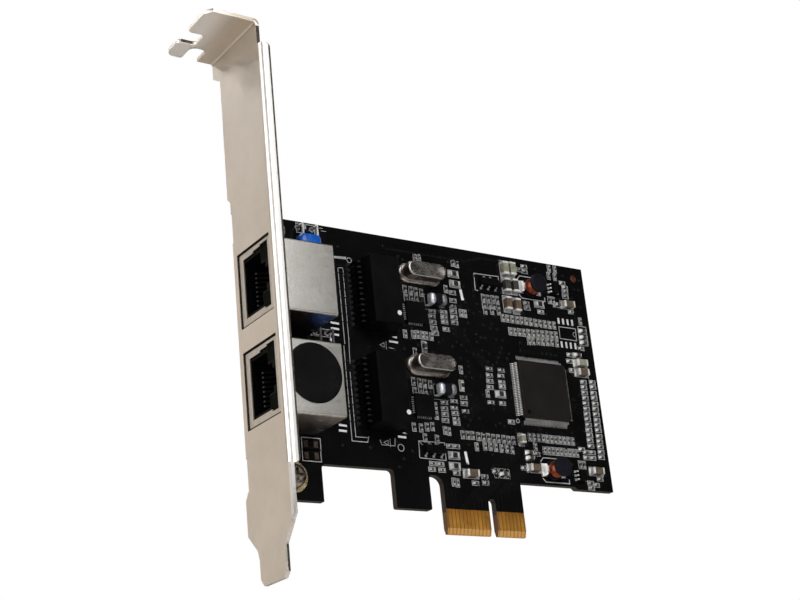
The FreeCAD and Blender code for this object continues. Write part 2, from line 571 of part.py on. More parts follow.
# ---------------------------------------------------------------- network controllers and chokes
for tag, cx, cz in (("lower", 43.9, 28.3), ("upper", 44.1, 50.1)):
    node(box("lan_" + tag, ("%g - lan_w / 2" % cx, "%g + lan_w / 2" % cx), ("-lan_t", -0.05),
             ("%g - lan_w / 2" % cz, "%g + lan_w / 2" % cz)), "lan_controller_" + tag)
bodies, caps = [], []
for tag, cx, cz in (("lower", 49.85, 32.3), ("upper", 50.0, 53.7)):
    zz = ("%g - choke_w / 2" % cz, "%g + choke_w / 2" % cz)
    bodies.append(box("choke_" + tag, ("%g - choke_l / 2 + 1.52" % cx, "%g + choke_l / 2 - 1.52" % cx),
                      ("-choke_t + 0.1", -0.1), ("%g - choke_w / 2 + 0.08" % cz, "%g + choke_w / 2 - 0.08" % cz)))
    caps.append(box("choke_cap_a_" + tag, ("%g - choke_l / 2" % cx, "%g - choke_l / 2 + 1.5" % cx), ("-choke_t", -0.02), zz))
    caps.append(box("choke_cap_b_" + tag, ("%g + choke_l / 2 - 1.5" % cx, "%g + choke_l / 2" % cx), ("-choke_t", -0.02), zz))
node(compound("choke_set", bodies), "filter_choke_bodies")
node(compound("choke_caps", caps), "filter_choke_terminals")

# ---------------------------------------------------------------- bridge chip
bb = body("bridge_body")
w = "bridge_w / 2"
sec = sketch(bb, "BridgeSection", "XY_Plane", [[
    ("bridge_x - %s" % w, -0.8), ("bridge_x - %s + 0.12" % w, -0.12), ("bridge_x + %s - 0.12" % w, -0.12),
    ("bridge_x + %s" % w, -0.8), ("bridge_x + %s - 0.12" % w, "-bridge_t"), ("bridge_x - %s + 0.12" % w, "-bridge_t")]],
    offset="bridge_z - " + w)
pad(bb, "BridgeBlock", sec, "bridge_w")
node(bb, "bridge_chip")
rows = []
for tag in ("sides", "ends"):
    lb = body("bridge_leads_" + tag)
    c = "bridge_x" if tag == "sides" else "bridge_z"
    o = "bridge_z" if tag == "sides" else "bridge_x"
    loops = []
    for s in (-1, 1):
        e = lambda d: "%s + %d * (%s + %g)" % (c, s, w, d)
        pts = [(e(0.02), 0.88), (e(0.3), 0.88), (e(0.42), 0.76), (e(0.5), 0.16), (e(1.0), 0.16), (e(1.0), 0.02),
               (e(0.36), 0.02), (e(0.28), 0.66), (e(0.2), 0.74), (e(0.02), 0.74)]
        loops.append([(a, -u) for a, u in pts] if tag == "sides" else [(-u, a) for a, u in pts])
    start = "%s - bridge_pitch * 15.5 - 0.09" % o
    sk = sketch(lb, "BridgeLead_" + tag, "XY_Plane" if tag == "sides" else "YZ_Plane", loops, offset=start)
    p = pad(lb, "BridgePair_" + tag, sk, 0.18)
    doc.recompute()
    lp = lb.newObject("PartDesign::LinearPattern", "BridgeRow_" + tag)
    lp.Originals = [p]
    lp.Direction = (plane(lb, "Z_Axis" if tag == "sides" else "X_Axis"), [""])
    lp.setExpression("Length", "Dims.bridge_pitch * 31")
    lp.Occurrences = 32
    lb.Tip = lp
    rows.append(lb)
node(compound("bridge_leads_set", rows), "bridge_chip_leads")

# ---------------------------------------------------------------- disc capacitors
# both lie flat over the board, their wires bent down into it above them
DISCS = (("upper", 16.7, 61.3, 66.4, (15.2, 18.8)), ("lower", 18.6, 35.9, 42.5, (17.5, 20.6)))
wires, wire_spots = [], []
for tag, cx, cz, hz, xs in DISCS:
    disc = cyl("disc_raw_" + tag, "y", "disc_r", "-disc_lift - disc_t", "-disc_lift", (cx, cz))
    doc.recompute()
    df = doc.addObject("Part::Fillet", "disc_" + tag)
    df.Base = disc
    df.Edges = [(i, 1.3, 1.3) for i, e in enumerate(disc.Shape.Edges, 1) if len(e.Vertexes) == 1]
    node(df, "disc_capacitor_" + tag)
    for k, x in enumerate(xs):
        dz = math.sqrt(N["disc_r"] ** 2 - (x - cx) ** 2)
        up = cyl("wire_up_%s_%d" % (tag, k), "y", 0.3, -2.3, "board_t + 0.9", (x, hz))
        over = cyl("wire_over_%s_%d" % (tag, k), "z", 0.3, cz + dz + 0.2, hz, (x, -2.3))
        knee = doc.addObject("Part::Sphere", "wire_knee_%s_%d" % (tag, k))
        knee.Radius = 0.3
        knee.Placement.Base = V(x, -2.3, hz)
        wires.append(fuse("wire_%s_%d" % (tag, k), [up, over, knee]))
        wire_spots.append((x, hz))
node(compound("disc_wires", wires), "disc_capacitor_leads")

# ---------------------------------------------------------------- drum inductors
cores, coils, clips = [], [], []
for tag, cx, cz in (("lower", 78.3, 15.85), ("upper", 78.3, 60.6)):
    foot = cyl("drum_foot_" + tag, "y", 2.35, -0.9, -0.05, (cx, cz))
    flats = box("drum_flat_" + tag, (cx - 2.0, cx + 2.0), (-0.95, 0.0), (cz - 3, cz + 3))
    footc = doc.addObject("Part::Common", "drum_footc_" + tag)
    footc.Base, footc.Tool = foot, flats
    post = cyl("drum_post_" + tag, "y", 1.2, -3.5, -0.8, (cx, cz))
    cap = cyl("drum_cap_" + tag, "y", 2.3, -4.1, -3.4, (cx, cz))
    cores.append(fuse("drum_" + tag, [footc, post, cap]))
    ring = cyl("coil_ring_" + tag, "y", 2.0, -3.38, -0.92, (cx, cz))
    bore = cyl("coil_bore_" + tag, "y", 1.22, -4.0, 0.0, (cx, cz))
    coils.append(cut("coil_" + tag, ring, bore))
    for k, s in enumerate((-1, 1)):
        lo, hi = sorted((cx + s * 2.02, cx + s * 2.5))
        clips.append(box("clip_%s_%d" % (tag, k), (lo, hi), (-0.95, -0.02), (cz - 0.9, cz + 0.9)))
node(compound("drum_set", cores), "inductor_cores")
node(compound("coil_set", coils), "inductor_windings")
node(compound("clip_set", clips), "inductor_terminals")

# ---------------------------------------------------------------- regulators and small converters
blocks, legs = [], []


def leg(name, cx, cz, dx, dz, width, reach, top):
    """One gull-wing leg leaving the body at (cx, cz) along dx or dz."""
    def span(a, b):
        lo, hi = sorted((a, b))
        return (lo, hi)
    if dz:
        a = box(name + "_a", (cx - width / 2, cx + width / 2), (-top, -top + 0.16), span(cz + dz * 0.02, cz + dz * 0.3))
        b = box(name + "_b", (cx - width / 2, cx + width / 2), (-top, -0.02), span(cz + dz * 0.24, cz + dz * 0.4))
        c = box(name + "_c", (cx - width / 2, cx + width / 2), (-0.18, -0.02), span(cz + dz * 0.24, cz + dz * reach))
    else:
        a = box(name + "_a", span(cx + dx * 0.02, cx + dx * 0.3), (-top, -top + 0.16), (cz - width / 2, cz + width / 2))
        b = box(name + "_b", span(cx + dx * 0.24, cx + dx * 0.4), (-top, -0.02), (cz - width / 2, cz + width / 2))
        c = box(name + "_c", span(cx + dx * 0.24, cx + dx * reach), (-0.18, -0.02), (cz - width / 2, cz + width / 2))
    return fuse(name, [a, b, c])


for tag, cx, cz in (("upper", 66.0, 60.2), ("lower", 45.3, 18.4)):
    blocks.append(box("reg_" + tag, (cx - 2.55, cx + 2.55), (-1.3, -0.1), (cz - 0.9, cz + 0.9)))
    for k, dx in enumerate((-2.1, 0.0, 2.1)):
        legs.append(leg("reg_leg_%s_%d" % (tag, k), cx + dx, cz - 0.9, 0, -1, 0.5, 0.75, 0.75))
    for k, dx in enumerate((-0.9, 0.95)):
        legs.append(leg("reg_legt_%s_%d" % (tag, k), cx + dx, cz + 0.9, 0, 1, 0.5, 0.75, 0.75))
for tag, cx, cz in (("upper", 85.7, 61.4), ("lower", 86.2, 15.1)):
    blocks.append(box("conv_" + tag, (cx - 0.82, cx + 0.82), (-1.15, -0.1), (cz - 1.45, cz + 1.45)))
    for k, dz in enumerate((-0.95, 0.0, 0.95)):
        legs.append(leg("conv_leg_l_%s_%d" % (tag, k), cx - 0.82, cz + dz, -1, 0, 0.4, 0.62, 0.65))
        legs.append(leg("conv_leg_r_%s_%d" % (tag, k), cx + 0.82, cz + dz, 1, 0, 0.4, 0.62, 0.65))
node(compound("reg_set", blocks), "regulator_bodies")
node(compound("reg_legs", legs), "regulator_leads")

# ---------------------------------------------------------------- chip parts
# centre (x, z) of each chip on the board; "h" lies along x, "v" lies along z
CHIPS = {
    ("r0805", "h"): [(56.2, 61.2), (56.4, 58.7), (50.8, 17.5), (50.7, 15.1), (65.8, 33), (80.8, 56.8)],
    ("c0402", "h"): [(55.4, 56.5), (55.3, 54.5), (49.1, 51.1), (48.9, 49.8), (49, 48.5), (49.1, 47.1), (49.3, 45.9),
        (55.1, 53.1), (55.1, 51.8), (55.1, 50.4), (55.1, 49.1), (55.2, 31.3), (55.2, 29.8), (55.3, 28.1),
        (49.7, 29.6), (49.6, 28.2), (49.6, 26.8), (49.5, 25.4), (49.9, 19.6), (51.7, 19.6), (58.6, 13.2), (51, 13.6),
        (55.8, 11.6), (58.6, 11.8), (61.7, 14.6), (76.2, 65.1), (77.6, 66.1), (77.6, 64.8), (76.9, 56.6), (77, 55.4),
        (89, 63.4), (89.6, 62.3), (89.5, 61.1), (89.4, 59.9), (88.2, 44.9), (87.8, 43.3), (91.3, 38.4), (91.2, 37),
        (91.2, 35.7), (91.2, 34.4), (91.1, 33), (91.1, 31.7), (91, 30.4), (91, 29.1), (91, 27.8), (90.9, 26.5),
        (90.9, 25.2), (90.8, 23.9), (90.8, 22.6), (94.1, 38.6), (94.1, 37.3), (94, 35.9), (94, 34.6), (94, 33.2),
        (93.9, 31.9), (93.9, 30.6), (93.9, 29.2), (93.8, 27.9), (93.8, 26.6), (93.8, 25.2), (93.7, 23.9),
        (93.7, 22.6), (93.7, 21.3), (93.6, 20), (74.2, 19.5), (89.1, 21), (91, 21), (89, 19.6), (90.9, 19.6),
        (87.8, 21.5), (92.2, 14.7), (90.8, 13.2), (89.1, 13.6), (89.2, 12.4)],
    ("r0402", "h"): [(52.3, 51.3), (52.3, 50.1), (52.3, 48.9), (52.5, 47.2), (52.4, 30), (52.3, 28.6), (52.4, 27.3),
        (52.5, 26.1), (52.5, 25.1), (44.9, 15.3), (46.9, 15.3), (44.5, 14), (47.1, 14), (63.4, 38.8), (63.3, 37.3),
        (63.2, 35.9), (63.1, 34.4), (62.8, 30.7), (66.9, 38.9), (66.6, 37.4), (66.6, 36), (66.6, 34.8), (66.1, 30.9),
        (68, 26.6), (81, 54.9), (90.6, 56.1), (92.1, 46.9), (88.3, 41), (70, 15.9)],
    ("r0402", "v"): [(57.2, 51.7), (58.3, 51.7), (41, 44.8), (43.2, 44.9), (44.3, 45), (45.6, 45), (46.7, 45),
        (48.1, 44.9), (45.9, 64), (47, 64.1), (55.3, 37.8), (49.1, 23.1), (50.1, 23), (47.2, 28.5), (47.2, 26.4),
        (49.9, 11.5), (50.9, 11.4), (62.2, 32.8), (59.6, 20.3), (61.1, 20.3), (62.6, 20.2), (64.2, 20.1),
        (65.7, 20.1), (67.2, 20), (57.3, 20), (85.4, 66.7), (87.2, 66.7), (85, 64.7), (86.9, 64.7), (93, 54),
        (69.2, 52), (70.6, 52), (72, 52), (73.4, 52), (74.7, 52), (76.1, 52), (77.5, 52), (78.9, 51.9), (80.3, 51.9),
        (81.8, 51.9), (83.2, 51.9), (84.6, 51.9), (71, 48.9), (72.3, 48.9), (73.7, 49), (75, 49), (76.4, 49.1),
        (77.8, 49.1), (79.2, 49.2), (80.6, 49.2), (82, 49.3), (83.4, 49.3), (84.8, 49.4), (76.2, 47.1), (77.5, 47.2),
        (79, 47.3), (80.4, 47.3), (81.8, 47.4), (83.2, 47.5), (84.7, 47.5), (72.7, 23.4), (74, 23.4), (75.2, 23.4),
        (76.5, 23.4), (77.7, 23.3), (79, 23.3), (80.2, 23.3), (81.5, 23.3), (82.8, 23.3), (84.1, 23.3), (85.4, 23.3),
        (76.6, 20.5), (77.8, 20.5), (79, 20.5), (80.2, 20.5), (81.4, 20.5), (82.6, 20.5), (83.8, 20.5), (85, 20.5),
        (86.2, 20.5), (74.1, 21.2)],
    ("c0402", "v"): [(64.2, 56.3), (65.5, 56.3), (66.9, 56.3), (68.2, 56.3), (64.2, 54.6), (65.6, 54.7),
        (66.9, 54.7), (68.3, 54.7), (64.3, 53.2), (66.3, 53.4), (68.3, 53.5), (43.2, 40.7), (53.6, 57.1),
        (56.5, 64.1), (57.6, 63.9), (41.9, 33.8), (43.5, 33.7), (44.9, 33.6), (46.4, 33.5), (43.5, 32), (44.9, 32),
        (42, 31.5), (40.9, 23.2), (42.7, 23.2), (44.3, 23.5), (45.8, 23.7), (43.5, 21), (46.7, 20.9), (53.8, 22.5),
        (55.2, 22.5), (56.5, 22.5), (58, 22.4), (59.4, 22.4), (60.8, 22.4), (62.2, 22.3), (63.6, 22.3), (65.1, 22.3),
        (66.5, 22.2), (67.9, 22.2), (84.2, 58.4), (85.3, 58.4), (86.7, 17.8), (87.9, 17.8),
        (42.1, 55.6), (43.7, 55.5), (45.1, 55.4), (46.6, 55.3), (43.7, 53.8), (45.1, 53.8), (42.2, 53.4)],
    ("c0603", "v"): [(45.8, 42.3)],
    ("r0603", "v"): [(55, 34)],
    ("c1206", "h"): [(54.8, 13.6), (89.5, 57.7), (91, 42.9), (91, 40.6), (72.9, 16), (91.3, 16.4)],
    ("c0603", "h"): [(64, 14.1), (86.5, 57.4), (93.2, 51.4), (93.2, 49.8), (93.1, 48.4), (90.5, 45), (72, 19.6),
        (72.1, 18.4)],
    ("c1206", "v"): [(71.2, 64.6), (73.4, 64.7)],
    ("k1206", "v"): [(71.2, 60.3), (73.6, 60.4)],
    ("b1206", "v"): [(70.9, 55.6), (73.6, 55.5)],
    ("b0805", "v"): [(70.1, 22.6)],
}
SIZE = {
    "r0402": ("c0402", "res_t"), "c0402": ("c0402", "cap_t"), "c0603": ("c0603", "cap6_t"), "r0603": ("c0603", "res8_t"),
    "r0805": ("c0805", "res8_t"), "b0805": ("c0805", "cap12_t"), "c1206": ("c1206", "cap12_t"),
    "k1206": ("c1206", "cap12_t"), "b1206": ("c1206", "cap12_t"),
}
GROUP = {"r0402": "chip_resistors", "r0603": "chip_resistors", "r0805": "chip_resistors",
         "c0402": "chip_capacitors", "c0603": "chip_capacitors",
         "b0805": "large_capacitors", "c1206": "large_capacitors", "k1206": "large_capacitors",
         "b1206": "large_capacitors"}
groups = {"chip_resistors": [], "chip_capacitors": [], "large_capacitors": []}
for (kind, lie), spots in CHIPS.items():
    size, tall = SIZE[kind]
    for k, (cx, cz) in enumerate(spots):
        L, W = size + "_l / 2", size + "_w / 2"
        ax, az = (L, W) if lie == "h" else (W, L)
        groups[GROUP[kind]].append(box("%s_%s_%03d" % (kind, lie, k), ("%g - %s" % (cx, ax), "%g + %s" % (cx, ax)),
                                       ("-" + tall, -0.02), ("%g - %s" % (cz, az), "%g + %s" % (cz, az))))
for name, items in groups.items():
    node(compound(name + "_set", items), name)

# ---------------------------------------------------------------- wire holes in the board
wh = pcb.newObject("PartDesign::Pocket", "WireDrill")
wl = []
for cx, cz in wire_spots:
    wl.append([(cx - 0.42, cz, 0.42, 1), (cx, cz - 0.42, 0.42, 1), (cx + 0.42, cz, 0.42, 1), (cx, cz + 0.42, 0.42, 1)])
wh.Profile = sketch(pcb, "WireHoles", "XZ_Plane", wl)
wh.Length = 3.0
pcb.Tip = wh

doc.recompute()
bad = [(o.Name, o.State) for o in doc.Objects if any(s in ("Invalid", "Error") for s in o.State)]
if bad:
    raise RuntimeError("failed objects: %s" % bad[:20])
seen = set()
for name, obj in NODES:
    sh = obj.Shape
    if sh.isNull() or not sh.isValid() or not sh.Solids:
        raise RuntimeError("bad shape: " + name)
    if name in seen:
        raise RuntimeError("name used twice: " + name)
    seen.add(name)
os.makedirs("parts", exist_ok=True)
for name, obj in NODES:
    obj.Shape.exportStep("parts/%s.step" % name)
    bb = obj.Shape.BoundBox
    print("%-26s solids %3d  vol %9.2f  x %.2f..%.2f y %.2f..%.2f z %.2f..%.2f" % (
        name, len(obj.Shape.Solids), obj.Shape.Volume, bb.XMin, bb.XMax, bb.YMin, bb.YMax, bb.ZMin, bb.ZMax))
print("nodes", len(NODES))
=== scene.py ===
import math
import random

import bmesh
import bpy
from mathutils import Matrix, Vector


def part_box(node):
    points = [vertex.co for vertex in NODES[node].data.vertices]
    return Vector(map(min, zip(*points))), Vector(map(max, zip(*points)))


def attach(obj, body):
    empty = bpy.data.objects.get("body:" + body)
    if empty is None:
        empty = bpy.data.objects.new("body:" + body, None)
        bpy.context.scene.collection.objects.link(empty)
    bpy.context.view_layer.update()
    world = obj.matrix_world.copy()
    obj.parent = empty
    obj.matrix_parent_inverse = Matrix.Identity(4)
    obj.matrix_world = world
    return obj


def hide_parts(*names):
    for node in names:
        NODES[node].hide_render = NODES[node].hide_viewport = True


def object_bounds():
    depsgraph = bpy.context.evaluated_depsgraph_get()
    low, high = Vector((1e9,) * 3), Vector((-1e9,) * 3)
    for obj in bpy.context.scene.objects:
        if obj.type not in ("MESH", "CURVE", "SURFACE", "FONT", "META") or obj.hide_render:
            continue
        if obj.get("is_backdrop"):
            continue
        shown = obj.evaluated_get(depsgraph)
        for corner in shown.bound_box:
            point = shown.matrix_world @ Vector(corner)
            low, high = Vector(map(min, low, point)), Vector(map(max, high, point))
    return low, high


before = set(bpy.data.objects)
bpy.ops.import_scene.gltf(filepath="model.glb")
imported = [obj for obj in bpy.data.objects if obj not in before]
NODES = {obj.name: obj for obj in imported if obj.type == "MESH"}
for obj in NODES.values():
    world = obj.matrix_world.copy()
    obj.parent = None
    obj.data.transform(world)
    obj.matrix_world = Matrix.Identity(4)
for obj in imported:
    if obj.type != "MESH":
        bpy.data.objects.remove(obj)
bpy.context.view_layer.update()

MM = 0.001
rng = random.Random(20261130)


# ---------------------------------------------------------------- materials
class Tree:
    """One node-based finish. Noise coordinates are the piece's own metres."""

    def __init__(self, name, rough=0.5, metal=0.0, base=(0.5, 0.5, 0.5), spec=0.5, ior=1.5,
                 coat=0.0, coat_rough=0.1, sub=0.0, aniso=0.0):
        self.mat = bpy.data.materials.new(name)
        self.mat.use_nodes = True
        nt = self.mat.node_tree
        nt.nodes.clear()
        self.nt = nt
        self.out = nt.nodes.new("ShaderNodeOutputMaterial")
        self.sh = nt.nodes.new("ShaderNodeBsdfPrincipled")
        nt.links.new(self.sh.outputs[0], self.out.inputs[0])
        s = self.sh.inputs
        s["Base Color"].default_value = (*base, 1)
        s["Roughness"].default_value = rough
        s["Metallic"].default_value = metal
        s["IOR"].default_value = ior
        s["Specular IOR Level"].default_value = spec
        s["Coat Weight"].default_value = coat
        s["Coat Roughness"].default_value = coat_rough
        s["Anisotropic"].default_value = aniso
        self.tc = nt.nodes.new("ShaderNodeTexCoord")
        self.normal = None

    def n(self, kind, **kw):
        node = self.nt.nodes.new(kind)
        for k, v in kw.items():
            setattr(node, k, v)
        return node

    def link(self, a, b):
        self.nt.links.new(a, b)

    def coords(self, stretch=(1, 1, 1), turn=(0, 0, 0)):
        m = self.n("ShaderNodeMapping")
        m.inputs["Scale"].default_value = stretch
        m.inputs["Rotation"].default_value = turn
        self.link(self.tc.outputs["Object"], m.inputs[0])
        return m.outputs[0]

    def noise(self, mm, detail=4.0, rough=0.55, stretch=(1, 1, 1), distort=0.0, turn=(0, 0, 0)):
        """Noise whose grains are about mm across, 0 to 1."""
        t = self.n("ShaderNodeTexNoise")
        t.inputs["Scale"].default_value = 1000.0 / mm
        t.inputs["Detail"].default_value = detail
        t.inputs["Roughness"].default_value = rough
        t.inputs["Distortion"].default_value = distort
        self.link(self.coords(stretch, turn), t.inputs["Vector"])
        return t.outputs["Fac"]

    def cells(self, mm, feature="F1", stretch=(1, 1, 1)):
        t = self.n("ShaderNodeTexVoronoi", feature=feature)
        t.inputs["Scale"].default_value = 1000.0 / mm
        self.link(self.coords(stretch), t.inputs["Vector"])
        return t.outputs["Distance"]

    def span(self, fac, lo, hi, f0=0.3, f1=0.7):
        m = self.n("ShaderNodeMapRange")
        m.inputs["From Min"].default_value = f0
        m.inputs["From Max"].default_value = f1
        m.inputs["To Min"].default_value = lo
        m.inputs["To Max"].default_value = hi
        self.link(fac, m.inputs["Value"])
        return m.outputs[0]

    def ramp(self, fac, stops):
        r = self.n("ShaderNodeValToRGB")
        e = r.color_ramp.elements
        while len(e) > 1:
            e.remove(e[-1])
        e[0].position = stops[0][0]
        e[0].color = (*stops[0][1], 1)
        for p, c in stops[1:]:
            k = e.new(p)
            k.color = (*c, 1)
        self.link(fac, r.inputs[0])
        return r.outputs[0]

    def mix(self, fac, a, b, mode="MIX"):
        m = self.n("ShaderNodeMix", data_type="RGBA", blend_type=mode)
        for sock, v in ((m.inputs[0], fac), (m.inputs[6], a), (m.inputs[7], b)):
            if isinstance(v, (int, float)):
                sock.default_value = v
            elif isinstance(v, tuple):
                sock.default_value = (*v, 1)
            else:
                self.link(v, sock)
        return m.outputs[2]

    def math(self, op, a, b=None, clamp=False):
        m = self.n("ShaderNodeMath", operation=op, use_clamp=clamp)
        for sock, v in ((m.inputs[0], a), (m.inputs[1], b)):
            if v is None:
                continue
            if isinstance(v, (int, float)):
                sock.default_value = v
            else:
                self.link(v, sock)
        return m.outputs[0]

    def color(self, sock):
        self.link(sock, self.sh.inputs["Base Color"])

    def rough(self, sock):
        self.link(sock, self.sh.inputs["Roughness"])

    def bump(self, height, strength=0.2, mm=0.05):
        b = self.n("ShaderNodeBump")
        b.inputs["Strength"].default_value = strength
        b.inputs["Distance"].default_value = mm * MM
        self.link(height, b.inputs["Height"])
        if self.normal is not None:
            self.link(self.normal, b.inputs["Normal"])
        self.normal = b.outputs[0]
        self.link(self.normal, self.sh.inputs["Normal"])


def metal(name, dark, light, rough, grain=0.6, stretch=(1, 1, 1), bump=0.15, bump_mm=0.01, tarnish=None,
          blotch=9.0, coat=0.0, amount=1.0):
    """Plated metal: blotchy tone, fine drawn grain in gloss and bump. amount below 1 gives a frosted, matt tin."""
    t = Tree(name, rough=sum(rough) / 2, metal=amount, base=light, coat=coat)
    big = t.noise(blotch, 3.0)
    fine = t.noise(grain, 5.0, stretch=stretch)
    c = t.mix(t.span(big, 0, 1, 0.32, 0.68), dark, light)
    if tarnish:
        spots = t.noise(2.2, 6.0, 0.7)
        c = t.mix(t.span(spots, 0, 0.55, 0.56, 0.74), c, tarnish)
    t.color(c)
    mixed = t.math("ADD", t.math("MULTIPLY", big, 0.45), t.math("MULTIPLY", fine, 0.55))
    t.rough(t.span(mixed, rough[0], rough[1], 0.36, 0.64))
    t.bump(fine, bump, bump_mm)
    return t.mat


def moulded(name, dark, light, rough, grain=0.12, bump=0.25, bump_mm=0.006, spec=0.5, coat=0.0, coat_rough=0.15,
            blotch=5.0, speck=None):
    """Moulded or glazed stuff: a fine spark-eroded texture, slight tone and gloss changes."""
    t = Tree(name, rough=sum(rough) / 2, base=light, spec=spec, coat=coat, coat_rough=coat_rough)
    big = t.noise(blotch, 3.0)
    fine = t.noise(grain, 3.0, 0.6)
    c = t.mix(t.span(big, 0, 1, 0.34, 0.66), dark, light)
    if speck:
        dots = t.cells(0.18)
        c = t.mix(t.span(dots, 0.35, 0.0, 0.05, 0.22), c, speck)
    t.color(c)
    t.rough(t.span(t.math("ADD", t.math("MULTIPLY", big, 0.5), t.math("MULTIPLY", fine, 0.5)), rough[0], rough[1], 0.35, 0.65))
    t.bump(fine, bump, bump_mm)
    return t.mat


STEEL = None


def steel_material():
    """Nickel-plated bracket sheet: fine rolled grain along its length, a few handling marks."""
    t = Tree("bracket_steel_finish", rough=0.38, metal=1.0, base=(0.7, 0.68, 0.65))
    big = t.noise(22, 3.0)
    cloud = t.noise(4.0, 5.0, 0.6)
    grain = t.noise(0.35, 4.0, 0.6, stretch=(1, 1, 0.12))
    marks = t.noise(1.3, 7.0, 0.75, stretch=(1, 1, 0.35), distort=0.6)
    c = t.mix(t.span(big, 0, 1, 0.3, 0.7), (0.68, 0.625, 0.565), (0.76, 0.712, 0.655))
    c = t.mix(t.span(cloud, 0, 0.35, 0.45, 0.75), c, (0.6, 0.565, 0.52))
    c = t.mix(t.span(marks, 0, 0.3, 0.62, 0.72), c, (0.5, 0.465, 0.42))
    # painted reflection and shade: the tab's underside is browner towards the bend, and lighter towards its free end as
    # a painted highlight; the flange face is painted bright, a painted reflection of the light
    place = t.n("ShaderNodeSeparateXYZ")
    t.link(t.tc.outputs["Object"], place.inputs[0])
    tab = t.math("GREATER_THAN", place.outputs["Z"], 106.2 * MM)
    c = t.mix(t.math("MULTIPLY", tab, t.span(place.outputs["X"], 0, 0.75, -9.5 * MM, -3.0 * MM)), c, (0.62, 0.51, 0.4))
    c = t.mix(t.math("MULTIPLY", tab, t.span(place.outputs["X"], 0.85, 0, -8.5 * MM, -5.0 * MM)), c, (0.92, 0.86, 0.8))
    # painted highlight: the flange is lightened for the light it reflects
    flange = t.math("LESS_THAN", place.outputs["Y"], -14.6 * MM)
    c = t.mix(t.math("MULTIPLY", flange, 0.8), c, (0.9, 0.885, 0.865))
    # sheared edges of the upright: a dull break band across the sheet's thickness
    geo = t.n("ShaderNodeNewGeometry")
    nor = t.n("ShaderNodeSeparateXYZ")
    t.link(geo.outputs["True Normal"], nor.inputs[0])
    pos = t.n("ShaderNodeSeparateXYZ")
    t.link(t.tc.outputs["Object"], pos.inputs[0])
    break_and_shade_mask = t.math("LESS_THAN", t.math("ABSOLUTE", nor.outputs["X"]), 0.4)
    break_and_shade_mask = t.math("MULTIPLY", break_and_shade_mask, t.math("GREATER_THAN", pos.outputs["X"], 0.02 * MM))
    break_and_shade_mask = t.math("MULTIPLY", break_and_shade_mask, t.math("LESS_THAN", pos.outputs["X"], 0.85 * MM))
    break_and_shade_mask = t.math("MULTIPLY", break_and_shade_mask, t.math("GREATER_THAN", pos.outputs["Y"], -14.5 * MM))
    break_and_shade_mask = t.math("MULTIPLY", break_and_shade_mask, t.math("LESS_THAN", pos.outputs["Z"], 105.5 * MM))
    # below the flange only the break beside the tongue shows, past the burnished half of the cut
    foot = t.math("LESS_THAN", pos.outputs["Z"], 8.0 * MM)
    past = t.math("MULTIPLY", t.math("GREATER_THAN", pos.outputs["X"], 0.36 * MM), t.math("LESS_THAN", nor.outputs["Y"], -0.9))
    past = t.math("MULTIPLY", past, t.math("LESS_THAN", pos.outputs["Z"], -1.2 * MM))
    break_and_shade_mask = t.math("MULTIPLY", break_and_shade_mask, t.math("MAXIMUM", t.math("SUBTRACT", 1.0, foot), past))
    # the screw notch's near wall in the tab
    notch = t.math("MULTIPLY", t.math("LESS_THAN", nor.outputs["Y"], -0.9), t.math("GREATER_THAN", pos.outputs["Z"], 106.4 * MM))
    notch = t.math("MULTIPLY", notch, t.math("GREATER_THAN", pos.outputs["Y"], -12.0 * MM))
    break_and_shade_mask = t.math("MAXIMUM", break_and_shade_mask, notch)
    # the flange's free edge: the same break, widened onto the face as a painted shade line for the dark gap behind it
    rim = t.math("MULTIPLY", t.math("GREATER_THAN", pos.outputs["X"], 1.98 * MM), t.math("LESS_THAN", pos.outputs["Y"], -14.5 * MM))
    break_and_shade_mask = t.math("MAXIMUM", break_and_shade_mask, rim)
    streak = t.noise(0.3, 4.0, 0.6, stretch=(0.2, 1, 1))
    # dark break colour, also used for the painted shade line along the flange's free edge
    break_and_shade_tone = t.mix(t.span(streak, 0, 1, 0.4, 0.6), (0.05, 0.042, 0.034), (0.11, 0.094, 0.078))
    t.color(t.mix(break_and_shade_mask, c, break_and_shade_tone))
    r = t.math("ADD", t.math("MULTIPLY", cloud, 0.25), t.math("MULTIPLY", grain, 0.75))
    t.rough(t.math("ADD", t.span(r, 0.36, 0.47, 0.36, 0.64), t.math("MULTIPLY", break_and_shade_mask, 0.12)))
    t.bump(cloud, 0.03, 0.04)
    t.bump(grain, 0.16, 0.008)
    return t.mat


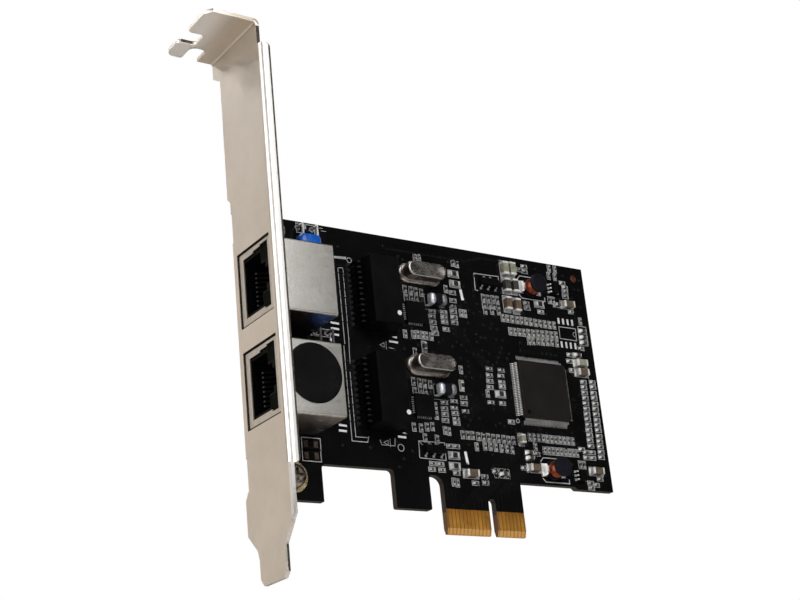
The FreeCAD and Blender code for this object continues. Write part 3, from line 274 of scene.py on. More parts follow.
def board_material():
    """Black mask on both faces over a faint glass weave; bare laminate on the cut edges and round the edge contacts."""
    t = Tree("board_mask_finish", rough=0.2, base=(0.01, 0.01, 0.011), spec=0.21)
    weave_a = t.n("ShaderNodeTexWave", wave_type="BANDS", bands_direction="X")
    weave_a.inputs["Scale"].default_value = 1000.0 / 0.55 / 6.283
    weave_a.inputs["Distortion"].default_value = 0.6
    weave_b = t.n("ShaderNodeTexWave", wave_type="BANDS", bands_direction="Z")
    weave_b.inputs["Scale"].default_value = 1000.0 / 0.48 / 6.283
    weave_b.inputs["Distortion"].default_value = 0.6
    for w in (weave_a, weave_b):
        t.link(t.tc.outputs["Object"], w.inputs["Vector"])
    weave = t.math("MULTIPLY", weave_a.outputs["Fac"], weave_b.outputs["Fac"])
    big = t.noise(14, 3.0)
    fine = t.noise(0.25, 5.0, 0.65)
    dust = t.noise(0.16, 2.0, 0.5)
    mask = t.mix(t.span(big, 0, 1, 0.3, 0.7), (0.0026, 0.0026, 0.003), (0.0046, 0.0046, 0.0052))
    mask = t.mix(t.math("MULTIPLY", weave, 0.5), mask, (0.006, 0.006, 0.006))
    mask = t.mix(t.span(dust, 0.0, 0.35, 0.72, 0.8), mask, (0.03, 0.03, 0.03))
    # cut laminate, seen on every edge
    layers = t.n("ShaderNodeTexWave", wave_type="BANDS", bands_direction="Y")
    layers.inputs["Scale"].default_value = 1000.0 / 0.3 / 6.283
    layers.inputs["Distortion"].default_value = 1.6
    layers.inputs["Detail"].default_value = 3.0
    layers.inputs["Detail Scale"].default_value = 3.0
    t.link(t.tc.outputs["Object"], layers.inputs["Vector"])
    edge = t.mix(layers.outputs["Fac"], (0.022, 0.016, 0.0105), (0.042, 0.031, 0.021))
    edge = t.mix(t.span(fine, 0, 0.6, 0.5, 0.7), edge, (0.014, 0.011, 0.008))
    # bare strip between the contacts
    bare = t.mix(t.span(fine, 0, 1, 0.4, 0.6), (0.15, 0.075, 0.018), (0.22, 0.11, 0.028))
    sep = t.n("ShaderNodeSeparateXYZ")
    t.link(t.tc.outputs["Object"], sep.inputs[0])
    low = t.math("LESS_THAN", sep.outputs["Z"], 5.5 * MM)
    x0 = t.math("GREATER_THAN", sep.outputs["X"], 47.0 * MM)
    x1 = t.math("LESS_THAN", sep.outputs["X"], 68.5 * MM)
    tongue = t.math("MULTIPLY", low, t.math("MULTIPLY", x0, x1))
    face = t.mix(tongue, mask, bare)
    geo = t.n("ShaderNodeNewGeometry")
    nor = t.n("ShaderNodeSeparateXYZ")
    t.link(geo.outputs["True Normal"], nor.inputs[0])
    side = t.math("LESS_THAN", t.math("ABSOLUTE", nor.outputs["Y"]), 0.5)
    # clear laminate without mask round the contacts: amber where the cut edge shows, striped by the contacts' ends
    stripes = []
    for phase in (3.424, 6.314):
        w = t.n("ShaderNodeTexWave", wave_type="BANDS", bands_direction="X")
        w.inputs["Scale"].default_value = 2 * math.pi / 20 / (1.0 * MM)
        w.inputs["Distortion"].default_value = 0.0
        w.inputs["Phase Offset"].default_value = phase
        t.link(t.tc.outputs["Object"], w.inputs["Vector"])
        stripes.append(w.outputs["Fac"])
    past_key = t.math("GREATER_THAN", sep.outputs["X"], 60.2 * MM)
    ends = t.math("ADD", t.math("MULTIPLY", stripes[0], t.math("SUBTRACT", 1.0, past_key)), t.math("MULTIPLY", stripes[1], past_key))
    amber = t.mix(t.span(ends, 0, 1, 0.12, 0.4), (0.34, 0.17, 0.045), (0.56, 0.3, 0.085))
    bevel = t.math("MULTIPLY", t.math("LESS_THAN", sep.outputs["Z"], 1.3 * MM), t.math("MULTIPLY", x0, x1))
    face = t.mix(bevel, face, amber)
    wall = t.mix(layers.outputs["Fac"], (0.09, 0.042, 0.015), (0.17, 0.085, 0.03))
    down = t.math("LESS_THAN", nor.outputs["Z"], -0.6)
    near = t.math("MULTIPLY", t.math("LESS_THAN", sep.outputs["Z"], 4.8 * MM), t.math("MULTIPLY", x0, x1))
    edge = t.mix(near, edge, t.mix(down, wall, amber))
    t.color(t.mix(side, face, edge))
    rough = t.span(t.math("ADD", t.math("MULTIPLY", fine, 0.6), t.math("MULTIPLY", big, 0.4)), 0.15, 0.24, 0.38, 0.62)
    not_mask = t.math("MAXIMUM", side, tongue)
    t.rough(t.math("ADD", rough, t.math("MULTIPLY", not_mask, 0.36)))
    t.bump(weave, 0.12, 0.012)
    t.bump(fine, 0.12, 0.01)
    return t.mat


# ---------------------------------------------------------------- mesh code
class Build:
    """Collects parts of one piece in millimetres, in the part's own frame, then makes one mesh of them."""

    def __init__(self):
        self.v, self.f, self.m = [], [], []

    def add(self, verts, faces, mat=0):
        base = len(self.v)
        self.v.extend(tuple(p) for p in verts)
        for f in faces:
            self.f.append([base + i for i in f])
            self.m.append(mat)

    def loft(self, rings, mat=0, caps=(True, True), mats=None):
        """Closed skin through rings with the same number of points."""
        n = len(rings[0])
        verts = [p for r in rings for p in r]
        base = len(self.v)
        self.v.extend(tuple(p) for p in verts)
        for k in range(len(rings) - 1):
            for i in range(n):
                j = (i + 1) % n
                self.f.append([base + k * n + i, base + k * n + j, base + (k + 1) * n + j, base + (k + 1) * n + i])
                self.m.append(mats[k] if mats else mat)
        if caps[0]:
            self.f.append([base + i for i in range(n)][::-1])
            self.m.append(mats[0] if mats else mat)
        if caps[1]:
            self.f.append([base + (len(rings) - 1) * n + i for i in range(n)])
            self.m.append(mats[-1] if mats else mat)

    def block(self, lo, hi, bevel=0.05, mat=0, turn=None):
        """Box with chamfered edges and corners; turn = (degrees about the board's normal, cx, cz)."""
        c = [(lo[i] + hi[i]) / 2 for i in range(3)]
        h = [(hi[i] - lo[i]) / 2 for i in range(3)]
        b = min(bevel, 0.45 * min(h) * 2)
        verts, index = [], {}
        for sx in (-1, 1):
            for sy in (-1, 1):
                for sz in (-1, 1):
                    for k in range(3):
                        p = [sx * h[0], sy * h[1], sz * h[2]]
                        for a in range(3):
                            if a != k:
                                p[a] -= (sx, sy, sz)[a] * b
                        index[(sx, sy, sz, k)] = len(verts)
                        verts.append(p)
        faces = []
        for k in range(3):
            a, d = [i for i in range(3) if i != k]
            for s in (-1, 1):
                loop = []
                for (u, w) in ((-1, -1), (1, -1), (1, 1), (-1, 1)):
                    q = [0, 0, 0]
                    q[k], q[a], q[d] = s, u, w
                    loop.append(index[(*q, k)])
                faces.append(loop)
        for k in range(3):
            a, d = [i for i in range(3) if i != k]
            for u in (-1, 1):
                for w in (-1, 1):
                    q0, q1 = [0, 0, 0], [0, 0, 0]
                    q0[k], q1[k] = -1, 1
                    q0[a] = q1[a] = u
                    q0[d] = q1[d] = w
                    faces.append([index[(*q0, a)], index[(*q1, a)], index[(*q1, d)], index[(*q0, d)]])
        for sx in (-1, 1):
            for sy in (-1, 1):
                for sz in (-1, 1):
                    faces.append([index[(sx, sy, sz, k)] for k in range(3)])
        out = []
        for p in verts:
            x, y, z = p[0] + c[0], p[1] + c[1], p[2] + c[2]
            if turn:
                x, z = spin(x, z, *turn)
            out.append((x, y, z))
        self.add(out, faces, mat)

    def stroke(self, pts, width, y, thick=0.014, mat=0, closed=False):
        """Flat printed or masked line on the board face along (x, z) points; y is its outer face."""
        n = len(pts)
        left, right = [], []
        for i, (x, z) in enumerate(pts):
            a = pts[i - 1] if (i > 0 or closed) else None
            b = pts[(i + 1) % n] if (i < n - 1 or closed) else None
            d0 = Vector((x - a[0], z - a[1])).normalized() if a else None
            d1 = Vector((b[0] - x, b[1] - z)).normalized() if b else None
            d = ((d0 or d1) + (d1 or d0)).normalized() if (d0 and d1) else (d0 or d1)
            k = 1.0
            if d0 and d1:
                k = 1.0 / max(0.45, math.cos(d0.angle(d1, 0.0) / 2))
            nx, nz = -d.y * width / 2 * k, d.x * width / 2 * k
            left.append((x + nx, z + nz))
            right.append((x - nx, z - nz))
        s = 1 if y <= 0.5 else -1
        y2 = y + thick * s
        verts = []
        for (lx, lz), (rx, rz) in zip(left, right):
            verts += [(lx, y, lz), (rx, y, rz), (rx, y2, rz), (lx, y2, lz)]
        faces = []
        m = n if closed else n - 1
        for i in range(m):
            j = (i + 1) % n
            for k in range(4):
                l = (k + 1) % 4
                faces.append([i * 4 + k, i * 4 + l, j * 4 + l, j * 4 + k])
        if not closed:
            faces.append([0, 1, 2, 3][::-1])
            faces.append([(n - 1) * 4 + k for k in range(4)])
        self.add(verts, faces, mat)

    def tube(self, pts, radius, mat=0, sides=10, caps=True, squash=None):
        """Round bar along 3-D points; radius may be one number or one per point."""
        pts = [Vector(p) for p in pts]
        radii = radius if isinstance(radius, (list, tuple)) else [radius] * len(pts)
        rings, normal = [], None
        for i, p in enumerate(pts):
            a = pts[max(0, i - 1)]
            b = pts[min(len(pts) - 1, i + 1)]
            t = (b - a).normalized()
            if normal is None:
                normal = t.orthogonal().normalized()
            else:
                normal = (normal - t * normal.dot(t)).normalized()
            bi = t.cross(normal)
            rings.append([p + (normal * math.cos(2 * math.pi * k / sides) + bi * math.sin(2 * math.pi * k / sides)) * radii[i]
                          for k in range(sides)])
        self.loft(rings, mat, (caps, caps))

    def bar(self, path, across, width, thick, mat=0, bevel=0.0):
        """Flat strip bent along path points; across is the unit direction of its width."""
        path = [Vector(p) for p in path]
        across = Vector(across).normalized()
        rings = []
        for i, p in enumerate(path):
            d0 = (p - path[i - 1]).normalized() if i > 0 else None
            d1 = (path[i + 1] - p).normalized() if i < len(path) - 1 else None
            t = ((d0 or d1) + (d1 or d0)).normalized()
            k = 1.0 / max(0.5, math.cos((d0.angle(d1, 0.0) / 2) if (d0 and d1) else 0.0))
            nor = t.cross(across).normalized() * k
            w, h, b = width / 2, thick / 2, bevel
            if b > 0:
                sec = [(-w + b, -h), (w - b, -h), (w, -h + b), (w, h - b), (w - b, h), (-w + b, h), (-w, h - b), (-w, -h + b)]
            else:
                sec = [(-w, -h), (w, -h), (w, h), (-w, h)]
            rings.append([p + across * a + nor * c for a, c in sec])
        self.loft(rings, mat)

    def lathe(self, cx, cz, profile, mat=0, sides=32, mats=None, squash=None, caps=(True, True), turn=0.0):
        """Turned shape about the board's normal; profile is (radius, y) from one end to the other.
        squash = half-width limit in x, for a foot with two flats."""
        rings = []
        for r, y in profile:
            ring = []
            for k in range(sides):
                a = 2 * math.pi * k / sides + turn
                x, z = r * math.cos(a), r * math.sin(a)
                if squash:
                    x = max(-squash, min(squash, x))
                ring.append((cx + x, y, cz + z))
            rings.append(ring)
        self.loft(rings, mat, caps, mats)

    def stack(self, cx, cz, levels, mat=0, seg=3, mats=None, caps=(True, True), turn=0.0):
        """Rounded-rectangle shape about the board's normal; levels are (y, half_x, half_z, corner radius)."""
        rings = []
        for y, hx, hz, r in levels:
            r = max(0.0005, min(r, hx, hz))
            ring = []
            for sx, sz, a0 in ((1, 1, 0), (-1, 1, 90), (-1, -1, 180), (1, -1, 270)):
                for k in range(seg + 1):
                    a = math.radians(a0 + 90.0 * k / seg)
                    x = sx * (hx - r) + r * math.cos(a)
                    z = sz * (hz - r) + r * math.sin(a)
                    if turn:
                        x, z = spin(x, z, turn, 0, 0)
                    ring.append((cx + x, y, cz + z))
            rings.append(ring)
        self.loft(rings, mat, caps, mats)

    def ring(self, cx, cz, r0, r1, y, thick=0.03, mat=0, sides=28, a0=0.0, a1=360.0):
        """Flat annulus on the board; y is its outer face."""
        s = 1 if y <= 0.5 else -1
        full = abs(a1 - a0 - 360.0) < 1e-6
        n = sides if full else sides + 1
        rings = []
        for k in range(n):
            a = math.radians(a0 + (a1 - a0) * k / sides)
            c, d = math.cos(a), math.sin(a)
            rings.append([(cx + r0 * c, y, cz + r0 * d), (cx + r1 * c, y, cz + r1 * d),
                          (cx + r1 * c, y + thick * s, cz + r1 * d), (cx + r0 * c, y + thick * s, cz + r0 * d)])
        verts = [p for r in rings for p in r]
        faces = []
        for k in range(n if full else n - 1):
            j = (k + 1) % n
            for i in range(4):
                l = (i + 1) % 4
                faces.append([k * 4 + i, k * 4 + l, j * 4 + l, j * 4 + i])
        if not full:
            faces.append([0, 1, 2, 3])
            faces.append([(n - 1) * 4 + i for i in range(4)][::-1])
        self.add(verts, faces, mat)

    def done(self, name, mats, node=None, slot=None, sharp=38.0, weighted=True):
        me = bpy.data.meshes.new(name)
        me.from_pydata([(x * MM, y * MM, z * MM) for x, y, z in self.v], [], self.f)
        for m in mats:
            me.materials.append(m)
        me.polygons.foreach_set("material_index", self.m)
        me.update()
        bm = bmesh.new()
        bm.from_mesh(me)
        bmesh.ops.recalc_face_normals(bm, faces=bm.faces)
        bm.to_mesh(me)
        bm.free()
        me.polygons.foreach_set("use_smooth", [True] * len(me.polygons))
        me.set_sharp_from_angle(angle=math.radians(sharp))
        ob = bpy.data.objects.new(name, me)
        bpy.context.scene.collection.objects.link(ob)
        if weighted:
            w = ob.modifiers.new("face_weight", "WEIGHTED_NORMAL")
            w.keep_sharp = True
            w.weight = 80
        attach(ob, "root")
        if node:
            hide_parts(*([node] if isinstance(node, str) else node))
        return ob


def spin(x, z, deg, cx=0.0, cz=0.0):
    a = math.radians(deg)
    c, s = math.cos(a), math.sin(a)
    dx, dz = x - cx, z - cz
    return cx + c * dx - s * dz, cz + s * dx + c * dz


def solids(node):
    """Boxes in mm of the separate solids in a CAD node, as (lo, hi), from its own mesh."""
    me = NODES[node].data
    bm = bmesh.new()
    bm.from_mesh(me)
    bmesh.ops.remove_doubles(bm, verts=bm.verts, dist=1e-6)
    seen, found = set(), []
    for v in bm.verts:
        if v in seen:
            continue
        todo, lo, hi = [v], [1e9] * 3, [-1e9] * 3
        seen.add(v)
        while todo:
            w = todo.pop()
            for i in range(3):
                lo[i] = min(lo[i], w.co[i] / MM)
                hi[i] = max(hi[i], w.co[i] / MM)
            for e in w.link_edges:
                o = e.other_vert(w)
                if o not in seen:
                    seen.add(o)
                    todo.append(o)
        found.append((lo, hi))
    bm.free()
    found.sort(key=lambda b: (round(b[0][0], 2), round(b[0][2], 2), round(b[0][1], 2)))
    return found


def arc(cx, cz, r, a0, a1, n=8):
    return [(cx + r * math.cos(math.radians(a0 + (a1 - a0) * k / n)),
             cz + r * math.sin(math.radians(a0 + (a1 - a0) * k / n))) for k in range(n + 1)]


def finish_node(node, mat):
    ob = NODES[node]
    for s in ob.material_slots:
        s.material = mat
    return ob


# ---------------------------------------------------------------- finishes
M_STEEL = steel_material()
M_BOARD = board_material()


def shield_material():
    """Tin-plated wrap: soft mottled plating with a faint rolled grain, no scratches."""
    t = Tree("port_shield_finish", rough=0.36, metal=1.0, base=(0.66, 0.65, 0.62))
    big = t.noise(7.0, 2.0)
    mottle = t.noise(1.1, 3.0, 0.5)
    fine = t.noise(0.3, 3.0, 0.5)
    c = t.mix(t.span(big, 0, 1, 0.3, 0.7), (0.66, 0.64, 0.6), (0.8, 0.785, 0.745))
    c = t.mix(t.span(mottle, 0, 0.6, 0.4, 0.62), c, (0.52, 0.5, 0.455))
    c = t.mix(t.span(fine, 0, 0.35, 0.45, 0.65), c, (0.46, 0.44, 0.4))
    # painted shade: darker towards the back, away from the socket's mouth
    pos = t.n("ShaderNodeSeparateXYZ")
    t.link(t.tc.outputs["Object"], pos.inputs[0])
    c = t.mix(t.span(pos.outputs["X"], 0, 0.68, 3.5 * MM, 15.5 * MM), c, (0.33, 0.315, 0.29))
    # painted shade on the folded sides: darkest towards the board, mottled
    geo = t.n("ShaderNodeNewGeometry")
    nor = t.n("ShaderNodeSeparateXYZ")
    t.link(geo.outputs["True Normal"], nor.inputs[0])
    side = t.math("GREATER_THAN", t.math("ABSOLUTE", nor.outputs["Z"]), 0.75)
    shade_tone = t.mix(t.span(pos.outputs["Y"], 0, 1, -12.9 * MM, -3.0 * MM), (0.4, 0.345, 0.29), (0.05, 0.043, 0.037))
    shade_tone = t.mix(t.span(mottle, 0, 0.5, 0.4, 0.66), shade_tone, (0.07, 0.061, 0.053))
    c = t.mix(side, c, shade_tone)
    front = t.math("GREATER_THAN", t.math("ABSOLUTE", nor.outputs["X"]), 0.75)
    c = t.mix(t.math("MULTIPLY", front, 0.7), c, (0.5, 0.47, 0.43))
    t.color(c)
    t.rough(t.span(t.math("ADD", t.math("MULTIPLY", mottle, 0.6), t.math("MULTIPLY", fine, 0.4)), 0.3, 0.44, 0.36, 0.64))
    t.bump(mottle, 0.16, 0.03)
    t.bump(fine, 0.09, 0.008)
    return t.mat


M_SHIELD = shield_material()
M_TIN = metal("lead_tin_finish", (0.34, 0.335, 0.33), (0.5, 0.49, 0.48), (0.3, 0.48), grain=0.15, bump=0.3,
              bump_mm=0.006, blotch=1.6)
# painted shade: tinned leads and solder coloured near black where they lie in shade; used on the transformers' leads
# and lands, three unfilled lands and the chokes' solder
M_SHADED_LEAD = metal("shaded_lead_finish", (0.008, 0.008, 0.0078), (0.02, 0.0195, 0.019), (0.4, 0.55), grain=0.15, bump=0.3,
               bump_mm=0.006, blotch=1.6)
M_END = metal("chip_end_finish", (0.5, 0.495, 0.48), (0.74, 0.73, 0.71), (0.4, 0.58), grain=0.15, bump=0.3,
              bump_mm=0.008, blotch=0.9, amount=0.6)
# painted light and shade: two copies of the chokes' dipped tin; this bright bluish one is the lit copy for the
# left-hand ends
M_DIPPED_LIT = metal("dipped_silver_lit_finish", (0.56, 0.58, 0.63), (0.8, 0.82, 0.88), (0.34, 0.48), grain=0.2, bump=0.35,
                 bump_mm=0.015, blotch=0.8, amount=0.8)
# the darker, rougher copy for the chokes' right-hand ends, a painted shade
M_FROST_SHADE = metal("frosted_shaded_tin_finish", (0.13, 0.135, 0.13), (0.3, 0.31, 0.3), (0.42, 0.6), grain=0.15, bump=0.6,
                bump_mm=0.02, blotch=0.5, amount=0.7)
# painted highlight: a brighter copy of the chip-end tin, for the large capacitors' ends and the inductors' terminals
M_LIT_END = metal("lit_end_finish", (0.7, 0.695, 0.68), (0.92, 0.91, 0.89), (0.36, 0.52), grain=0.15, bump=0.3,
                 bump_mm=0.008, blotch=0.9, amount=0.5)
M_LAND = metal("bare_land_finish", (0.6, 0.6, 0.59), (0.8, 0.8, 0.78), (0.42, 0.6), grain=0.2, bump=0.25,
               bump_mm=0.01, blotch=1.2, amount=0.45)
M_FINE = metal("fine_lead_finish", (0.42, 0.415, 0.41), (0.58, 0.575, 0.57), (0.42, 0.58), grain=0.12, bump=0.25,
               bump_mm=0.005, blotch=2.6, amount=0.75)
M_MARK = metal("bare_copper_mark_finish", (0.06, 0.018, 0.009), (0.14, 0.042, 0.02), (0.4, 0.6), grain=0.2, bump=0.3,
               bump_mm=0.01, blotch=0.7, amount=0.6)
M_RUST = metal("aged_land_finish", (0.035, 0.022, 0.016), (0.11, 0.075, 0.056), (0.45, 0.65), grain=0.25, bump=0.5,
               bump_mm=0.012, blotch=0.6, amount=0.6)
M_SOLDER = metal("solder_finish", (0.42, 0.42, 0.415), (0.62, 0.62, 0.61), (0.24, 0.44), grain=0.25, bump=0.45,
                 bump_mm=0.02, blotch=0.9)


def gold_material():
    """Hard gold on the contacts: browner by the mask, bright and wiped towards the lower end."""
    t = Tree("gold_finish", rough=0.34, metal=0.78, base=(0.95, 0.45, 0.09), spec=0.2)
    pos = t.n("ShaderNodeSeparateXYZ")
    t.link(t.tc.outputs["Object"], pos.inputs[0])
    big = t.noise(3.0, 3.0)
    wipe = t.noise(0.2, 5.0, stretch=(1, 1, 0.15))
    low = t.mix(t.span(big, 0, 1, 0.32, 0.68), (0.92, 0.45, 0.075), (1.0, 0.54, 0.11))
    high = t.mix(t.span(big, 0, 1, 0.32, 0.68), (0.5, 0.19, 0.022), (0.64, 0.26, 0.032))
    c = t.mix(t.span(pos.outputs["Z"], 0, 1, 0.2 * MM, 5.6 * MM), low, high)
    c = t.mix(t.span(wipe, 0, 0.35, 0.5, 0.72), c, (0.5, 0.19, 0.035))
    t.color(c)
    t.rough(t.span(t.math("ADD", t.math("MULTIPLY", big, 0.45), t.math("MULTIPLY", wipe, 0.55)), 0.27, 0.44, 0.36, 0.64))
    t.bump(wipe, 0.2, 0.006)
    return t.mat


M_GOLD = gold_material()
M_RING = metal("ring_gold_finish", (0.5, 0.4, 0.2), (0.72, 0.6, 0.34), (0.22, 0.4), grain=0.3, bump=0.3,
               bump_mm=0.015, blotch=1.5)
# painted shade: the sockets' contacts coloured near black for the shade inside the port mouths
M_SPRING = metal("contact_finish", (0.013, 0.0125, 0.0115), (0.028, 0.027, 0.025), (0.3, 0.45), grain=0.2,
                 stretch=(0.2, 1, 1), bump=0.15, bump_mm=0.006)
M_SCREW = metal("screw_finish", (0.22, 0.18, 0.15), (0.4, 0.345, 0.3), (0.22, 0.38), grain=0.25, bump=0.25,
                bump_mm=0.012, tarnish=(0.26, 0.17, 0.11), blotch=1.8)
M_CAN = metal("crystal_can_finish", (0.34, 0.315, 0.285), (0.46, 0.43, 0.395), (0.24, 0.34), grain=0.3, bump=0.08,
              stretch=(0.25, 1, 1), bump_mm=0.006, blotch=2.4)
# plated flange tone with a pinkish-brown tint painted in, a painted reflection
M_FLANGE = metal("crystal_flange_finish", (0.56, 0.495, 0.45), (0.74, 0.675, 0.63), (0.22, 0.34), grain=0.3, bump=0.06,
                 bump_mm=0.006, blotch=3.0)
M_EPOXY = moulded("chip_epoxy_finish", (0.0022, 0.0022, 0.0022), (0.0042, 0.0041, 0.004), (0.42, 0.56), grain=0.1,
                  bump=0.3, bump_mm=0.01, spec=0.045, speck=(0.006, 0.006, 0.006))
M_EPOXY_B = moulded("bridge_epoxy_finish", (0.0065, 0.0055, 0.0052), (0.0095, 0.008, 0.0075), (0.4, 0.52), grain=0.09,
                    bump=0.25, bump_mm=0.008, spec=0.2, speck=(0.016, 0.014, 0.013))
M_PLASTIC = moulded("port_plastic_finish", (0.0008, 0.0008, 0.0008), (0.0018, 0.0018, 0.0017), (0.5, 0.65), grain=0.2,
                    bump=0.2, bump_mm=0.01, spec=0.045)
M_FERRITE = moulded("ferrite_finish", (0.0035, 0.0035, 0.0065), (0.0075, 0.0075, 0.0125), (0.45, 0.6), grain=0.14,
                    bump=0.4, bump_mm=0.015, spec=0.1, speck=(0.03, 0.03, 0.034))
M_BLUE = moulded("disc_blue_finish", (0.001, 0.075, 0.42), (0.002, 0.13, 0.62), (0.3, 0.42), grain=0.6, bump=0.15,
                 bump_mm=0.02, spec=0.3, coat=0.35, coat_rough=0.14, blotch=1.4)
M_TAN = moulded("ceramic_tan_finish", (0.07, 0.049, 0.032), (0.135, 0.098, 0.067), (0.4, 0.55), grain=0.1, bump=0.25,
                bump_mm=0.008, blotch=0.8, spec=0.35)
M_OLIVE = moulded("ceramic_olive_finish", (0.17, 0.17, 0.12), (0.3, 0.3, 0.22), (0.4, 0.55), grain=0.1, bump=0.25,
                  bump_mm=0.008, blotch=0.8, spec=0.35)
M_GREY = moulded("ceramic_grey_finish", (0.035, 0.033, 0.03), (0.07, 0.067, 0.062), (0.4, 0.55), grain=0.1, bump=0.25,
                 bump_mm=0.008, blotch=0.8, spec=0.35)
M_BROWN = moulded("ceramic_brown_finish", (0.03, 0.027, 0.024), (0.055, 0.05, 0.044), (0.4, 0.55), grain=0.1, bump=0.25,
                  bump_mm=0.008, blotch=0.8, spec=0.35)
M_ALUMINA = moulded("alumina_finish", (0.5, 0.49, 0.46), (0.66, 0.65, 0.62), (0.45, 0.6), grain=0.08, bump=0.3,
                    bump_mm=0.006)
M_GLAZE = moulded("resistor_glaze_finish", (0.008, 0.008, 0.009), (0.016, 0.016, 0.018), (0.28, 0.4), grain=0.15,
                  bump=0.25, bump_mm=0.006, spec=0.5)
M_SILK = moulded("silk_finish", (0.3, 0.305, 0.31), (0.47, 0.475, 0.48), (0.5, 0.65), grain=0.07, bump=0.35,
                 bump_mm=0.006, blotch=2.5)
M_SILK_BRIGHT = moulded("silk_bar_finish", (0.68, 0.69, 0.7), (0.8, 0.81, 0.82), (0.5, 0.65), grain=0.07, bump=0.3,
                        bump_mm=0.006, blotch=2.5)
M_MASK = moulded("mask_over_copper_finish", (0.0048, 0.0048, 0.0052), (0.0075, 0.0075, 0.0082), (0.2, 0.3),
                 grain=0.3, bump=0.12, bump_mm=0.01, spec=0.2)
M_LABEL = moulded("label_finish", (0.003, 0.003, 0.0035), (0.005, 0.005, 0.0055), (0.2, 0.28), grain=0.5, bump=0.15,
                  bump_mm=0.01, spec=0.2, blotch=6.0)
M_LABEL_RIM = moulded("label_rim_finish", (0.3, 0.3, 0.31), (0.42, 0.42, 0.43), (0.35, 0.5), grain=0.4, bump=0.1,
                      bump_mm=0.01)


def copper_material():
    t = Tree("copper_wire_finish", rough=0.25, base=(0.4, 0.1, 0.03), spec=0.25, coat=0.35, coat_rough=0.1, metal=0.85)
    big = t.noise(1.2, 3.0)
    fine = t.noise(0.2, 4.0)
    t.color(t.mix(t.span(big, 0, 1, 0.35, 0.65), (0.11, 0.013, 0.003), (0.3, 0.055, 0.01)))
    t.rough(t.span(fine, 0.2, 0.38))
    t.bump(fine, 0.15, 0.008)
    return t.mat


def window_material(name, dark, light):
    t = Tree(name, rough=0.55, base=light, spec=0.012)
    ribs = t.n("ShaderNodeTexWave", wave_type="BANDS", bands_direction="Z")
    ribs.inputs["Scale"].default_value = 1000.0 / 0.5 / 6.283
    ribs.inputs["Distortion"].default_value = 0.3
    t.link(t.tc.outputs["Object"], ribs.inputs["Vector"])
    cloud = t.noise(0.9, 4.0)
    t.color(t.mix(t.span(cloud, 0, 1, 0.3, 0.7), dark, light))
    t.rough(t.span(cloud, 0.45, 0.65))
    t.bump(ribs.outputs["Fac"], 0.2, 0.03)
    return t.mat


def wire_material():
    """Tinned wire ends: bright on the upper disc, painted darker on the lower one between the ports, a painted shade.
    """
    t = Tree("disc_wire_finish", rough=0.5, metal=0.6, base=(0.6, 0.6, 0.58))
    pos = t.n("ShaderNodeSeparateXYZ")
    t.link(t.tc.outputs["Object"], pos.inputs[0])
    fine = t.noise(0.5, 4.0)
    bright = t.mix(t.span(fine, 0, 1, 0.35, 0.65), (0.42, 0.415, 0.4), (0.66, 0.65, 0.63))
    # painted shade: dark tone for the lower disc's wires, below z 46 mm
    shade_tone = t.mix(t.span(fine, 0, 1, 0.35, 0.65), (0.05, 0.047, 0.043), (0.12, 0.115, 0.105))
    t.color(t.mix(t.span(pos.outputs["Z"], 0, 1, 46 * MM, 52 * MM), shade_tone, bright))
    t.rough(t.span(fine, 0.4, 0.58))
    t.bump(fine, 0.3, 0.008)
    return t.mat


M_COPPER = copper_material()
M_WIRE = wire_material()
M_WIN = window_material("window_finish", (0.0012, 0.0018, 0.0012), (0.0032, 0.005, 0.003))


# ---------------------------------------------------------------- carried-over CAD nodes
finish_node("mounting_bracket", M_STEEL)
finish_node("circuit_board", M_BOARD)
finish_node("edge_contacts_front", M_GOLD)
finish_node("edge_contacts_back", M_GOLD)
finish_node("board_screws", M_SCREW)
finish_node("port_housing_lower", M_PLASTIC)
finish_node("port_housing_upper", M_PLASTIC)
finish_node("indicator_windows_lower", M_WIN)
finish_node("indicator_windows_upper", M_WIN)
finish_node("port_contacts_lower", M_SPRING)
finish_node("port_contacts_upper", M_SPRING)
finish_node("disc_capacitor_leads", M_WIRE)

# the bent sheet's cut edges are broken by deburring
br = NODES["mounting_bracket"]
w = br.modifiers.new("join_seams", "WELD")
w.merge_threshold = 1e-6
b = br.modifiers.new("deburr", "BEVEL")
b.limit_method = "ANGLE"
b.angle_limit = math.radians(40)
b.width = 0.17 * MM
b.segments = 2
b.use_clamp_overlap = True
b.harden_normals = False
wn = br.modifiers.new("face_weight", "WEIGHTED_NORMAL")
wn.keep_sharp = False
wn.weight = 90


